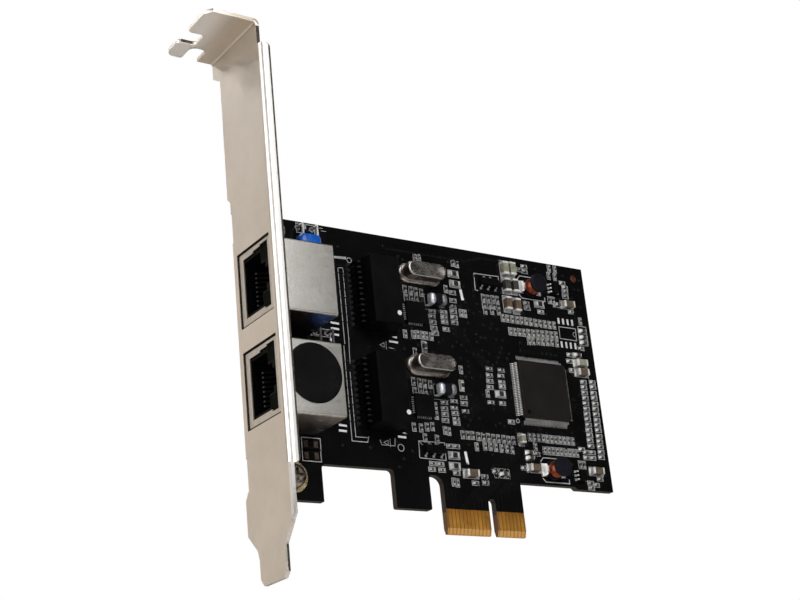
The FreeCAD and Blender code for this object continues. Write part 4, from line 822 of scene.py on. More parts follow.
# ---------------------------------------------------------------- chips
def chip(bld, lo, hi, kind, silk, pads):
    """One two-ended chip with wrapped ends, solder and its pads. kind picks the body's finish index."""
    dx, dz = hi[0] - lo[0], hi[2] - lo[2]
    along_x = dx > dz
    length, width = (dx, dz) if along_x else (dz, dx)
    height = -0.02 - lo[1]
    cx, cz = (lo[0] + hi[0]) / 2, (lo[2] + hi[2]) / 2
    turn = rng.uniform(-1.4, 1.4) + (0 if along_x else 90)
    cx += rng.uniform(-0.03, 0.03)
    cz += rng.uniform(-0.03, 0.03)

    def blk(a0, a1, w, y0, y1, bevel, mat):
        bld.block((cx + a0, y0, cz - w / 2), (cx + a1, y1, cz + w / 2), bevel, mat, (turn, cx, cz))

    top = -0.03 - height + 0.01
    end = {1.0: 0.24, 1.6: 0.34, 2.0: 0.42, 3.2: 0.55}.get(round(length, 1), 0.3)
    if kind == "resistor":
        blk(-length / 2 + 0.02, length / 2 - 0.02, width - 0.03, top + 0.04, -0.03, 0.03, 1)
        blk(-length / 2 + end - 0.03, length / 2 - end + 0.03, width - 0.05, top, top + 0.12, 0.03, 2)
        for s in (-1, 1):
            a0, a1 = sorted((s * length / 2, s * (length / 2 - end)))
            blk(a0, a1, width, top + 0.015, -0.025, 0.045, 0)
    else:
        body = {"tan": 3, "grey": 4, "brown": 5, "olive": 7}[kind]
        blk(-length / 2 + 0.05, length / 2 - 0.05, width - 0.04, top + 0.015, -0.035, 0.05, body)
        for s in (-1, 1):
            a0, a1 = sorted((s * length / 2, s * (length / 2 - end)))
            blk(a0, a1, width, top, -0.025, 0.085, 0)
    # solder: a hollow ramp from each end down to its pad
    for s in (-1, 1):
        reach = 0.2 if length < 1.5 else 0.34
        w = width * 0.94
        e = s * length / 2
        prof = [(e - s * 0.04, top + height * 0.3), (e + s * 0.05, top + height * 0.42), (e + s * 0.12, -0.09 - height * 0.18),
                (e + s * reach, -0.045), (e + s * (reach + 0.02), -0.012), (e - s * 0.04, -0.012)]
        verts, n = [], len(prof)
        for t in (-1, 1):
            for k, (a, y) in enumerate(prof):
                ww = w / 2 * (1.0 if k in (0, 1, 5) else 1.04)
                x, z = spin(cx + a, cz + t * ww, turn, cx, cz)
                verts.append((x, y, z))
        faces = [[i, (i + 1) % n, n + (i + 1) % n, n + i] for i in range(n)]
        faces += [list(range(n))[::-1], [n + i for i in range(n)]]
        bld.add(verts, faces, 6)
        a0, a1 = sorted((e + s * (reach + 0.06), e - s * end))
        ease = -0.02 if length < 1.5 else 0.05
        pads.block((cx + a0, -0.03, cz - width / 2 - ease), (cx + a1, -0.001, cz + width / 2 + ease), 0.012, 0, (turn if along_x else 90, cx, cz))
    if silk is not None:
        m = 0.34 if length < 1.5 else 0.42
        a, w = length / 2 + m + 0.07, width / 2 + 0.21
        loop = [(-a, -w), (a, -w), (a, w), (-a, w)]
        loop = [spin(cx + p, cz + q, 0 if along_x else 90, cx, cz) for p, q in loop]
        silk.append(loop)


chip_mats = [M_END, M_ALUMINA, M_GLAZE, M_TAN, M_GREY, M_BROWN, M_SOLDER, M_OLIVE]
pads = Build()
shade = Build()
bare = Build()
rust = Build()
loops = []
b_res = Build()
for lo, hi in solids("chip_resistors"):
    chip(b_res, lo, hi, "resistor", loops, pads)
b_cap = Build()
for lo, hi in solids("chip_capacitors"):
    chip(b_cap, lo, hi, rng.choice(["grey", "brown", "brown", "grey"]), loops, pads)
b_big = Build()
for lo, hi in solids("large_capacitors"):
    px, pz = (lo[0] + hi[0]) / 2, (lo[2] + hi[2]) / 2
    kind = "tan"
    if pz > 63 or 41.6 < pz < 44.5 or (pz > 20 and px < 71 and pz < 26):
        kind = "olive"
    elif 58.6 < pz < 62 and px < 80:
        kind = "brown"
    chip(b_big, lo, hi, kind, loops, pads)
b_res.done("chip_resistors_detail", chip_mats, "chip_resistors", "resistor")
b_cap.done("chip_capacitors_detail", chip_mats, "chip_capacitors", "ceramic")
# the large capacitors' ends take the brighter copy of the end tin, a painted highlight
b_big.done("large_capacitors_detail", [M_LIT_END] + chip_mats[1:], "large_capacitors", "ceramic")

# printed frames round the chips: neighbours share a line where they meet
silk = Build()
for loop in loops:
    silk.stroke(loop, 0.15, -0.014, 0.013, 0, closed=True)


# ---------------------------------------------------------------- transformers
def transformer(tag, cx, cz):
    body = Build()
    body.stack(cx, cz, [(-0.35, 3.7, 7.93, 0.25), (-0.5, 3.78, 7.97, 0.3), (-2.5, 3.985, 8.0, 0.32), (-2.56, 4.0, 8.0, 0.32),
                        (-2.64, 4.0, 8.0, 0.32), (-2.7, 3.985, 8.0, 0.32), (-5.7, 3.73, 7.97, 0.3), (-5.86, 3.68, 7.92, 0.28),
                        (-5.96, 3.58, 7.82, 0.22), (-6.0, 3.46, 7.7, 0.18)], 0, seg=4)
    # moulded centre seam at both ends and the ejector marks
    for s in (-1, 1):
        body.block((cx - 0.9, -2.9, cz + s * 7.98 - 0.1), (cx + 0.9, -2.3, cz + s * 7.98 + 0.02 * s + 0.08), 0.03, 0)
    for dx, dz in ((0.0, 5.2), (0.0, -5.2)):
        body.ring(cx + dx, cz + dz, 0.55, 0.62, -6.012, 0.02, 0, 24)
    body.done("transformer_%s_body" % tag, [M_EPOXY], "transformer_" + tag, "chip_black")
    leads = Build()
    for k in range(12):
        z = cz + (k - 5.5) * 1.27
        for s in (-1, 1):
            path = [(3.9, -2.6), (4.62, -2.6), (4.86, -2.55), (5.0, -2.42), (5.06, -2.25), (5.3, -0.55), (5.36, -0.33),
                    (5.48, -0.2), (5.62, -0.16), (5.93, -0.15)]
            leads.bar([(cx + s * a, y, z) for a, y in path], (0, 0, 1), 0.46, 0.24, 0, 0.05)
            # foot's solder
            foot = [(5.02, -0.02), (5.06, -0.5), (5.2, -0.36), (5.28, -0.16), (5.9, -0.14), (6.12, -0.05), (6.16, -0.02)]
            v, n = [], len(foot)
            for t in (-1, 1):
                v += [(cx + s * a, y, z + t * 0.31) for a, y in foot]
            leads.add(v, [[i, (i + 1) % n, n + (i + 1) % n, n + i] for i in range(n)] + [list(range(n))[::-1], [n + i for i in range(n)]], 1)
            a0, a1 = sorted((cx + s * 4.75, cx + s * 6.3))
            shade.block((a0, -0.03, z - 0.38), (a1, -0.001, z + 0.38), 0.012, 0)
    leads.done("transformer_leads_%s_formed" % tag, [M_SHADED_LEAD, M_SHADED_LEAD], "transformer_leads_" + tag, "lead_tin")


transformer("lower", 32.5, 29.8)
transformer("upper", 33.3, 52.4)


# ---------------------------------------------------------------- crystals
def crystal(tag, cx, cz):
    base = Build()
    base.stack(cx, cz, [(-0.02, 5.6, 2.25, 2.1), (-0.12, 5.65, 2.3, 2.2), (-0.36, 5.65, 2.3, 2.2), (-0.42, 5.59, 2.26, 2.15),
                        (-0.44, 5.59, 2.26, 2.15), (-0.5, 5.67, 2.32, 2.22), (-0.7, 5.67, 2.32, 2.22), (-0.79, 5.59, 2.24, 2.15),
                        (-0.8, 5.35, 2.0, 1.95)], 0, seg=12)
    base.done("crystal_base_%s_flange" % tag, [M_FLANGE], "crystal_base_" + tag, "crystal_base")
    can = Build()
    can.stack(cx, cz, [(-0.82, 5.25, 1.9, 1.88), (-0.95, 5.21, 1.86, 1.84), (-1.1, 5.2, 1.85, 1.83), (-3.55, 5.2, 1.85, 1.83),
                       (-3.76, 5.17, 1.82, 1.8), (-3.89, 5.1, 1.75, 1.73), (-3.97, 4.98, 1.63, 1.61), (-4.0, 4.83, 1.48, 1.46),
                       (-3.99, 4.66, 1.31, 1.29), (-3.955, 4.5, 1.15, 1.13), (-3.945, 2.0, 0.4, 0.39)], 0, seg=14)
    can.done("crystal_can_%s_drawn" % tag, [M_CAN], "crystal_can_" + tag, "crystal_can")
    for s in (-1, 1):
        pads.block((cx + s * 4.4 - 0.9, -0.018, cz - 0.6), (cx + s * 4.4 + 0.9, -0.001, cz + 0.6), 0.01, 0)


crystal("lower", 46.25, 37.55)
crystal("upper", 46.25, 59.45)


# ---------------------------------------------------------------- chips with leads
def quad_flat(cx, cz):
    body = Build()

    def octagon(y, h, c):
        return [(cx + x, y, cz + z) for x, z in ((h, h - c), (h - c, h), (-h + c, h), (-h, h - c), (-h, -h + c), (-h + c, -h), (h - c, -h), (h, -h + c))]

    body.loft([octagon(-0.12, 6.78, 0.5), octagon(-0.16, 6.83, 0.5), octagon(-0.78, 6.98, 0.52), octagon(-0.8, 7.0, 0.52),
               octagon(-0.86, 7.0, 0.52), octagon(-0.88, 6.98, 0.52), octagon(-1.42, 6.86, 0.5), octagon(-1.48, 6.82, 0.48),
               octagon(-1.5, 6.76, 0.46)][:], 0)
    # flash along the mould's parting line, coloured lighter grey as a painted highlight of the seam
    for e in (-1, 1):
        body.block((cx - 6.4, -0.868, cz + e * 6.985 - 0.02), (cx + 6.4, -0.822, cz + e * 6.985 + 0.02), 0.008, 2)
        body.block((cx + e * 6.985 - 0.02, -0.868, cz - 6.4), (cx + e * 6.985 + 0.02, -0.822, cz + 6.4), 0.008, 2)
    body.ring(cx - 5.6, cz - 5.6, 0.5, 0.56, -1.508, 0.012, 0, 24)
    body.lathe(cx - 5.6, cz - 5.6, [(0.5, -1.502), (0.3, -1.504), (0.05, -1.506)], 1, 20)
    body.ring(cx + 5.2, cz + 5.2, 0.62, 0.68, -1.506, 0.01, 0, 24)
    body.done("bridge_chip_body", [M_EPOXY_B, M_EPOXY, M_GREY], "bridge_chip", "chip_black")
    leads = Build()
    path = [(6.9, -0.83), (7.3, -0.83), (7.38, -0.8), (7.42, -0.74), (7.5, -0.24), (7.54, -0.16), (7.62, -0.11), (7.99, -0.1)]
    for side in range(4):
        for k in range(32):
            o = (k - 15.5) * 0.4
            pts = []
            for a, y in path:
                x, z = (a, o)
                for _ in range(side):
                    x, z = -z, x
                pts.append((cx + x, y, cz + z))
            across = ((0, 0, 1), (1, 0, 0), (0, 0, 1), (1, 0, 0))[side]
            leads.bar(pts, across, 0.2, 0.12, 0)
            x0, x1, w = 7.35, 8.35, 0.115
            c = [(x0, o - w), (x1, o + w)]
            q = []
            for x, z in c:
                for _ in range(side):
                    x, z = -z, x
                q.append((cx + x, cz + z))
            lo = (min(q[0][0], q[1][0]), -0.035, min(q[0][1], q[1][1]))
            hi = (max(q[0][0], q[1][0]), -0.001, max(q[0][1], q[1][1]))
            pads.block(lo, hi, 0.01, 0)
    leads.done("bridge_chip_leads_formed", [M_FINE], "bridge_chip_leads", "lead_tin")


quad_flat(77.93, 34.56)


def no_lead(tag, cx, cz):
    body = Build()
    body.stack(cx, cz, [(-0.05, 2.48, 2.48, 0.05), (-0.2, 2.5, 2.5, 0.05), (-0.84, 2.5, 2.5, 0.06), (-0.89, 2.46, 2.46, 0.06),
                        (-0.9, 2.42, 2.42, 0.05)], 0, seg=2)
    body.lathe(cx - 1.9, cz - 1.9, [(0.26, -0.903), (0.22, -0.906), (0.05, -0.907)], 0, 18)
    for side in range(4):
        for k in range(8):
            o = (k - 3.5) * 0.5
            lo, hi = [2.3, -0.26, o - 0.12], [2.512, -0.04, o + 0.12]
            plo, phi = [2.42, -0.03, o - 0.13], [2.95, -0.001, o + 0.13]
            slo, shi = [2.45, -0.14, o - 0.12], [2.78, -0.02, o + 0.12]
            for (l, h, target, mat) in ((lo, hi, body, 1), (slo, shi, body, 2), (plo, phi, pads, 0)):
                pts = []
                for x, z in ((l[0], l[2]), (h[0], h[2])):
                    for _ in range(side):
                        x, z = -z, x
                    pts.append((x, z))
                xs = sorted(p[0] for p in pts)
                zs = sorted(p[1] for p in pts)
                target.block((cx + xs[0], l[1], cz + zs[0]), (cx + xs[1], h[1], cz + zs[1]), 0.02, mat)
    body.done("lan_controller_%s_body" % tag, [M_EPOXY, M_TIN, M_SOLDER], "lan_controller_" + tag, "chip_black")


no_lead("lower", 43.9, 28.3)
no_lead("upper", 44.1, 50.1)

# small regulators: rounded mould and formed legs
body = Build()
legs = Build()
for cx, cz, kind in ((66.0, 60.2, 0), (45.3, 18.4, 0), (85.7, 61.4, 1), (86.2, 15.1, 1)):
    hx, hz, top = (2.55, 0.9, -1.3) if kind == 0 else (0.82, 1.45, -1.15)
    body.stack(cx, cz, [(-0.1, hx - 0.06, hz - 0.06, 0.08), (top * 0.52, hx, hz, 0.1), (top * 0.56, hx, hz, 0.1),
                        (top + 0.08, hx - 0.06, hz - 0.06, 0.08), (top, hx - 0.13, hz - 0.13, 0.05)], 0, seg=2)
    ends = []
    if kind == 0:
        ends = [(dx, -1) for dx in (-2.1, 0.0, 2.1)] + [(dx, 1) for dx in (-0.9, 0.95)]
    else:
        ends = [(dz, s) for dz in (-0.95, 0.0, 0.95) for s in (-1, 1)]
    for o, s in ends:
        a = hz if kind == 0 else hx
        prof = [(a - 0.1, -0.62), (a + 0.16, -0.62), (a + 0.25, -0.58), (a + 0.3, -0.48), (a + 0.34, -0.22), (a + 0.4, -0.14),
                (a + 0.5, -0.1), (a + 0.62, -0.1)]
        if kind == 0:
            legs.bar([(cx + o, y, cz + s * q) for q, y in prof], (1, 0, 0), 0.4, 0.13, 0, 0.03)
            z0, z1 = sorted((cz + s * (a + 0.25), cz + s * (a + 0.85)))
            pads.block((cx + o - 0.3, -0.03, z0), (cx + o + 0.3, -0.001, z1), 0.012, 0)
            legs.block((cx + o - 0.24, -0.09, min(cz + s * (a + 0.32), cz + s * (a + 0.72))),
                       (cx + o + 0.24, -0.02, max(cz + s * (a + 0.32), cz + s * (a + 0.72))), 0.03, 1)
        else:
            legs.bar([(cx + s * q, y, cz + o) for q, y in prof], (0, 0, 1), 0.4, 0.13, 0, 0.03)
            x0, x1 = sorted((cx + s * (a + 0.25), cx + s * (a + 0.85)))
            pads.block((x0, -0.03, cz + o - 0.3), (x1, -0.001, cz + o + 0.3), 0.012, 0)
            legs.block((min(cx + s * (a + 0.32), cx + s * (a + 0.72)), -0.09, cz + o - 0.24),
                       (max(cx + s * (a + 0.32), cx + s * (a + 0.72)), -0.02, cz + o + 0.24), 0.03, 1)
body.done("regulator_bodies_moulded", [M_EPOXY], "regulator_bodies", "chip_black")
legs.done("regulator_leads_formed", [M_TIN, M_SOLDER], "regulator_leads", "lead_tin")


# ---------------------------------------------------------------- chokes and inductors
body = Build()
ends = Build()
for cx, cz in ((49.85, 32.3), (50.0, 53.7)):
    body.stack(cx, cz, [(-0.1, 0.92, 1.22, 0.1), (-1.9, 0.92, 1.2, 0.1), (-2.05, 0.92, 1.05, 0.1)], 0, seg=2)
    for s in (-1, 1):
        # left-hand ends take the lit copy of the dipped tin and right-hand ends the shaded copy: painted light and
        # shade
        ends.stack(cx + s * 1.52, cz, [(-0.02, 0.8, 1.28, 0.45), (-0.2, 0.82, 1.33, 0.6), (-1.2, 0.83, 1.35, 0.68), (-1.6, 0.8, 1.3, 0.7),
                                       (-1.9, 0.71, 1.16, 0.66), (-2.08, 0.56, 0.94, 0.53), (-2.17, 0.36, 0.66, 0.34), (-2.2, 0.16, 0.36, 0.15)],
                   0 if s < 0 else 2, seg=8)
        pads.block((cx + s * 2.0 - 0.72, -0.03, cz - 1.42), (cx + s * 2.0 + 0.72, -0.001, cz + 1.42), 0.015, 0)
        v = []
        prof = [(2.25, -0.02), (2.25, -0.8), (2.34, -0.7), (2.42, -0.34), (2.58, -0.1), (2.64, -0.02)]
        n = len(prof)
        for t in (-1, 1):
            v += [(cx + s * a, y, cz + t * (1.1 + 0.12 * (k > 2))) for k, (a, y) in enumerate(prof)]
        ends.add(v, [[i, (i + 1) % n, n + (i + 1) % n, n + i] for i in range(n)] + [list(range(n))[::-1], [n + i for i in range(n)]], 1)
body.done("filter_choke_bodies_pressed", [M_FERRITE], "filter_choke_bodies", "ferrite")
ends.done("filter_choke_terminals_dipped", [M_DIPPED_LIT, M_SHADED_LEAD, M_FROST_SHADE], "filter_choke_terminals", "lead_tin")

cores = Build()
coils = Build()
clips = Build()
for cx, cz in ((78.3, 15.85), (78.3, 60.6)):
    cores.lathe(cx, cz, [(2.28, -0.05), (2.35, -0.12), (2.35, -0.82), (2.28, -0.9), (1.2, -0.91)], 0, 48, squash=2.0)
    cores.lathe(cx, cz, [(1.2, -0.88), (1.2, -3.42)], 0, 24)
    cores.lathe(cx, cz, [(1.2, -3.39), (2.22, -3.4), (2.3, -3.48), (2.3, -4.0), (2.25, -4.07), (2.15, -4.1), (1.5, -4.09), (0.4, -4.085)], 0, 48)
    pts, turns, r = [], 8, 1.84
    for k in range(turns * 28 + 1):
        a = 2 * math.pi * k / 28
        rr = r + 0.02 * math.sin(a * 0.37 + cx + cz)
        pts.append((cx + rr * math.cos(a), -1.08 - (2.14 * k / (turns * 28)), cz + rr * math.sin(a)))
    coils.tube(pts, 0.148, 0, 8)
    pts = []
    for k in range(6 * 24 + 1):
        a = 2 * math.pi * k / 24 + 1.0
        pts.append((cx + 1.56 * math.cos(a), -1.2 - (1.95 * k / (6 * 24)), cz + 1.56 * math.sin(a)))
    coils.tube(pts, 0.16, 0, 6)
    for s in (-1, 1):
        # wire end brought down to its terminal
        coils.tube([(cx + s * 1.62, -1.1, cz + s * 0.9), (cx + s * 1.95, -1.06, cz + s * 0.75), (cx + s * 2.2, -0.93, cz + s * 0.55),
                    (cx + s * 2.26, -0.7, cz + s * 0.4), (cx + s * 2.3, -0.3, cz + s * 0.35)], 0.12, 0, 8)
        clips.bar([(cx + s * 1.3, -0.93, cz), (cx + s * 2.0, -0.93, cz), (cx + s * 2.14, -0.88, cz), (cx + s * 2.2, -0.74, cz),
                   (cx + s * 2.22, -0.3, cz), (cx + s * 2.3, -0.14, cz), (cx + s * 2.44, -0.09, cz)], (0, 0, 1), 1.7, 0.12, 0, 0.03)
        prof = [(2.05, -0.02), (2.12, -0.95), (2.3, -0.98), (2.5, -0.7), (2.72, -0.3), (3.1, -0.1), (3.2, -0.02)]
        v, n = [], len(prof)
        for t in (-1, 1):
            v += [(cx + s * a, y, cz + t * (1.0 + 0.12 * min(k, 4))) for k, (a, y) in enumerate(prof)]
        clips.add(v, [[i, (i + 1) % n, n + (i + 1) % n, n + i] for i in range(n)] + [list(range(n))[::-1], [n + i for i in range(n)]], 1)
        pads.block((cx + s * 2.6 - 0.9, -0.03, cz - 1.6), (cx + s * 2.6 + 0.9, -0.001, cz + 1.6), 0.015, 0)
cores.done("inductor_cores_turned", [M_FERRITE], "inductor_cores", "ferrite")
coils.done("inductor_windings_wound", [M_COPPER], "inductor_windings", "copper")
# the inductors' terminals take the brighter copy of the end tin, a painted highlight
clips.done("inductor_terminals_formed", [M_LIT_END, M_LIT_END], "inductor_terminals", "lead_tin")


# ---------------------------------------------------------------- disc capacitors
def disc(tag, cx, cz, wires):
    """Dipped disc: a little squarer than round where the coating sags between its wires."""
    d = Build()
    prof = []
    n = 14
    for k in range(n + 1):
        a = math.pi * k / n - math.pi / 2
        c, s = math.cos(a), math.sin(a)
        r = 1.35 + 1.56 * abs(c) ** 0.48
        y = -2.2 - 1.54 * (abs(s) ** 0.7) * (1 if s > 0 else -1)
        prof.append((r, y))
    prof = [(0.35, -2.2 + 1.57)] + prof + [(0.35, -2.2 - 1.57)]
    sides = 40
    rings = []
    for r, y in prof:
        ring = []
        for k in range(sides):
            a = 2 * math.pi * k / sides
            sq = (abs(math.cos(a)) ** 4.6 + abs(math.sin(a)) ** 4.6) ** (-1 / 4.6)
            q = r * (1 + 0.01 * math.sin(3 * a + cx) + 0.006 * math.sin(5 * a + 2.0 * y)) * sq
            ring.append((cx - 0.3 + 0.93 * q * math.cos(a), y + 0.02 * math.sin(2 * a + r), cz + 0.17 + 0.85 * q * math.sin(a)))
        rings.append(ring)
    d.loft(rings, 0)
    # coating drawn out along the wires
    for x, z in wires:
        dx, dz = x - cx, z - cz
        L = math.hypot(dx, dz)
        ux, uz = dx / L, dz / L
        pts = [(cx + ux * q, -2.3, cz + uz * q) for q in (1.9, 2.4, 2.75, 2.95)]
        d.tube(pts, [0.8, 0.62, 0.46, 0.35], 0, 14)
    d.done("disc_capacitor_%s_coated" % tag, [M_BLUE], "disc_capacitor_" + tag, "disc_blue")


disc("upper", 16.7, 61.3, ((15.2, 63.9), (18.8, 63.4)))
disc("lower", 18.6, 35.9, ((17.5, 38.6), (20.6, 38.0)))


# ---------------------------------------------------------------- port shields
def sheet_with_holes(bld, outer, holes, place, thick_dir, thick, mat=0):
    """Flat sheet from 2-D loops; place maps (a, b) to a 3-D point and thick_dir moves to the other face."""
    from mathutils.geometry import tessellate_polygon
    loops2 = [outer] + holes
    flat = [p for l in loops2 for p in l]
    tris = tessellate_polygon([[Vector((a, b, 0)) for a, b in l] for l in loops2])
    n = len(flat)
    front = [Vector(place(a, b)) for a, b in flat]
    back = [p + Vector(thick_dir) * thick for p in front]
    faces = [list(t) for t in tris] + [[n + i for i in t][::-1] for t in tris]
    at = 0
    for l in loops2:
        m = len(l)
        for i in range(m):
            j = (i + 1) % m
            faces.append([at + i, at + j, n + at + j, n + at + i])
        at += m
    bld.add(front + back, faces, mat)


def round_rect(a0, a1, b0, b1, r, n=5, corners=(1, 1, 1, 1)):
    """Corner order: (a1, b1), (a0, b1), (a0, b0), (a1, b0)."""
    out = []
    for (a, b, s0), on in zip(((a1, b1, 0), (a0, b1, 90), (a0, b0, 180), (a1, b0, 270)), corners):
        if not on:
            out.append((a, b))
            continue
        ca = a - r if a == a1 else a + r
        cb = b - r if b == b1 else b + r
        out += [(ca + r * math.cos(math.radians(s0 + 90 * k / n)), cb + r * math.sin(math.radians(s0 + 90 * k / n))) for k in range(n + 1)]
    return out


def shield(tag, zb):
    zt = zb + 16.0
    x0, x1, h, t = 0.3, 15.55, 13.0, 0.25
    s = Build()
    # wrap: side, outer face, side, bent round 0.45 corners; the section runs along x
    r = 0.5
    sec_out = [(zb, -0.02)] + [(z, y) for z, y in arc(zb + r, -h + r, r, 180, 270, 6)] + [(z, y) for z, y in arc(zt - r, -h + r, r, 270, 360, 6)] + [(zt, -0.02)]
    q = r - t
    sec_in = [(zt - t, -0.02)] + [(z, y) for z, y in arc(zt - r, -h + r, q, 360, 270, 6)] + [(z, y) for z, y in arc(zb + r, -h + r, q, 270, 180, 6)] + [(zb + t, -0.02)]
    sec = sec_out + sec_in
    xs = [x0 + 0.16, x0 + 0.4, 7.9, x1 - 0.4, x1 - 0.14]
    s.loft([[(x, y, z) for z, y in sec] for x in xs], 0)
    # rounded bend at the back, and the back plate in the same sheet
    back_ring = []
    for dx, inset in ((-0.14, 0.0), (-0.07, 0.03), (-0.02, 0.09), (0.0, 0.18)):
        back_ring.append([(x1 + dx, y, z) for z, y in round_rect(zb + inset, zt - inset, -h + inset, -0.02, r, 6, (0, 0, 1, 1))])
    s.loft(back_ring, 0, (True, True))
    # front plate with the stepped mouth
    mouth = [(zb + 1.45, -1.75), (zt - 1.45, -1.75), (zt - 1.45, -6.0), (zt - 1.05, -6.0), (zt - 1.05, -8.9), (zt - 0.7, -8.9),
             (zt - 0.7, -12.05), (zb + 1.0, -12.05), (zb + 1.0, -9.6), (zb + 1.45, -9.6)]
    outer = round_rect(zb + 0.02, zt - 0.02, -h + 0.02, -0.02, r, 6, (0, 0, 1, 1))
    outer_in = round_rect(zb + 0.1, zt - 0.1, -h + 0.1, -0.1, r, 6, (0, 0, 1, 1))
    sheet_with_holes(s, outer_in, [mouth], lambda z, y: (x0, y, z), (1, 0, 0), t)
    m = len(outer)
    v = [(x0, y, z) for z, y in outer_in] + [(x0 + 0.09, y, z) for z, y in outer] + [(x0 + t, y, z) for z, y in outer]
    f = [[i, (i + 1) % m, m + (i + 1) % m, m + i] for i in range(m)] + [[m + i, m + (i + 1) % m, 2 * m + (i + 1) % m, 2 * m + i] for i in range(m)]
    s.add(v, f, 0)
    # raised grounding tongues and dimples pressed from both sides
    for side in (-1, 1):
        z = zb if side < 0 else zt
        for cy in (-4.4, -9.0):
            pts = [(4.6, 0.0), (4.0, 0.02), (3.2, 0.12), (2.4, 0.18), (1.9, 0.13), (1.5, 0.02)]
            s.bar([(x, cy, z + side * (a + 0.01)) for x, a in pts], (0, 1, 0), 1.5, 0.12, 0, 0.03)
        for (xx, yy) in ((11.0, -4.0), (11.0, -9.4)):
            prof = [(0.62, 0.0), (0.5, 0.035), (0.25, 0.06), (0.05, 0.07)]
            rings = []
            for rr, a in prof:
                rings.append([(xx + rr * math.cos(2 * math.pi * k / 18), yy + rr * math.sin(2 * math.pi * k / 18), z + side * a) for k in range(18)])
            s.loft(rings, 0, (False, True))
    # folded seams along the back edge of both sides and a locking tab at the back
    for side in (-1, 1):
        z = zb if side < 0 else zt
        z0, z1 = sorted((z, z + side * 0.05))
        s.block((x1 - 1.6, -9.2, z0), (x1 - 0.12, -6.4, z1), 0.03, 0)
        s.block((x1 - 1.6, -3.8, z0), (x1 - 0.12, -2.0, z1), 0.03, 0)
    s.block((x1 - 0.02, -10.6, zb + 6.4), (x1 + 0.03, -8.6, zb + 9.6), 0.02, 0)
    s.done("port_shield_%s_folded" % tag, [M_SHIELD], "port_shield_" + tag, "port_shield", sharp=50)


shield("lower", 19.39)
shield("upper", 41.23)

# round sticker, bare
lab = Build()
lab.lathe(8.62, 28.2, [(6.44, -13.02), (6.45, -13.05), (6.44, -13.1), (6.38, -13.12), (6.0, -13.122), (3.0, -13.122), (0.5, -13.122)], 0, 72,
          mats=[0, 0, 0, 0, 0, 0])
lab.done("round_label_disc", [M_LABEL], "round_label", "label")


# ---------------------------------------------------------------- rings, holes and printed lines
rings = Build()
for cx, cz, ro in ((9.6, 10.3, 3.45), (9.0, 64.4, 2.7)):
    rings.ring(cx, cz, 1.6, ro, -0.035, 0.034, 0, 48)
rings.done("screw_land_rings", [M_RING], None, "gold")

S = -0.014


def line(pts, w=0.16, closed=False, mat=0):
    silk.stroke(pts, w, S, 0.013, mat, closed)


def rect(x0, x1, z0, z1, w=0.15, mat=0):
    line([(x0, z0), (x1, z0), (x1, z1), (x0, z1)], w, True, mat)


# port and transformer outlines
line([(24.6, 40.2), (24.6, 18.9), (28.5, 18.9), (28.9, 20.2)], 0.17)
line([(25.6, 34.3), (25.6, 19.9), (28.6, 19.9)], 0.15)
line([(24.8, 58.3), (24.9, 40.6)], 0.17)
line([(26.1, 58.5), (26.0, 41.7), (25.8, 36.2)], 0.15)
line([(24.8, 58.3), (26.1, 58.5)], 0.15)
line([(31.7, 19.7), (32.0, 18.6), (35.4, 18.6), (35.6, 20.4)], 0.14)
silk.ring(36.9, 18.3, 0.68, 0.84, S, 0.013, 0, 24)
silk.ring(69.9, 27.0, 0.36, 0.52, S, 0.013, 0, 20)

# discs' wire frames
rect(14.95, 19.6, 65.3, 67.5, 0.2)
line([(17.25, 67.3), (17.25, 66.3)], 0.5)
rect(16.6, 21.4, 41.7, 43.4, 0.18)
line([(17.2, 41.75), (19.0, 41.85)], 0.5)
silk.lathe(21.6, 41.2, [(0.42, -0.001), (0.42, -0.014), (0.05, -0.0142)], 1, 18)
for a in ((20.9, 67.2, 21.8), (21.2, 66.6, 22.5)):
    line([(a[0], a[1]), (a[2], a[1])], 0.16)
# marks beside the transformers: bar with a ring, filled bars, diode signs
line([(24.0, 60.75), (27.2, 60.95)], 0.6)
silk.ring(27.95, 60.55, 0.5, 0.68, S, 0.013, 0, 24)
for x0, x1, z in ((21.75, 23.85, 45.15), (21.7, 23.75, 43.85), (21.6, 23.6, 42.5), (21.65, 23.6, 22.15), (21.55, 23.5, 20.95),
                  (36.4, 38.5, 20.75), (36.5, 38.85, 42.5)):
    line([(x0, z + 0.04), (x1, z - 0.04)], 0.46, False, 1)
for x0, z0 in ((37.5, 21.66), (37.35, 43.65)):
    silk.add([(x0, S, z0), (x0 + 1.35, S, z0 + 0.26), (x0 + 1.35, S, z0 - 0.26), (x0, -0.001, z0), (x0 + 1.35, -0.001, z0 + 0.26), (x0 + 1.35, -0.001, z0 - 0.26)],
             [[0, 1, 2], [3, 5, 4], [0, 3, 4, 1], [1, 4, 5, 2], [2, 5, 3, 0]], 1)
for x0, z0 in ((34.0, 41.45), (32.6, 19.2)):
    line([(x0, z0), (x0 + 1.1, z0 + 0.55), (x0 + 1.1, z0 - 0.55)], 0.13, True)
    line([(x0 + 1.65, z0 + 0.95), (x0 + 1.6, z0 - 0.95)], 0.13)
line([(36.3, 41.0), (37.7, 40.9)], 0.13)
line([(57.8, 57.6), (58.15, 55.0)], 0.75, False, 1)
line([(53.95, 18.65), (54.3, 15.8)], 0.7, False, 1)
# regulator frames
line([(62.15, 58.1), (62.3, 62.25), (69.4, 62.4), (69.45, 61.3)], 0.2)
line([(62.15, 58.1), (62.9, 58.0)], 0.2)
line([(41.55, 16.4), (41.7, 20.2), (48.6, 20.25), (48.5, 16.25), (41.55, 16.4)], 0.16)
line([(41.7, 20.2), (42.7, 19.3)], 0.14)
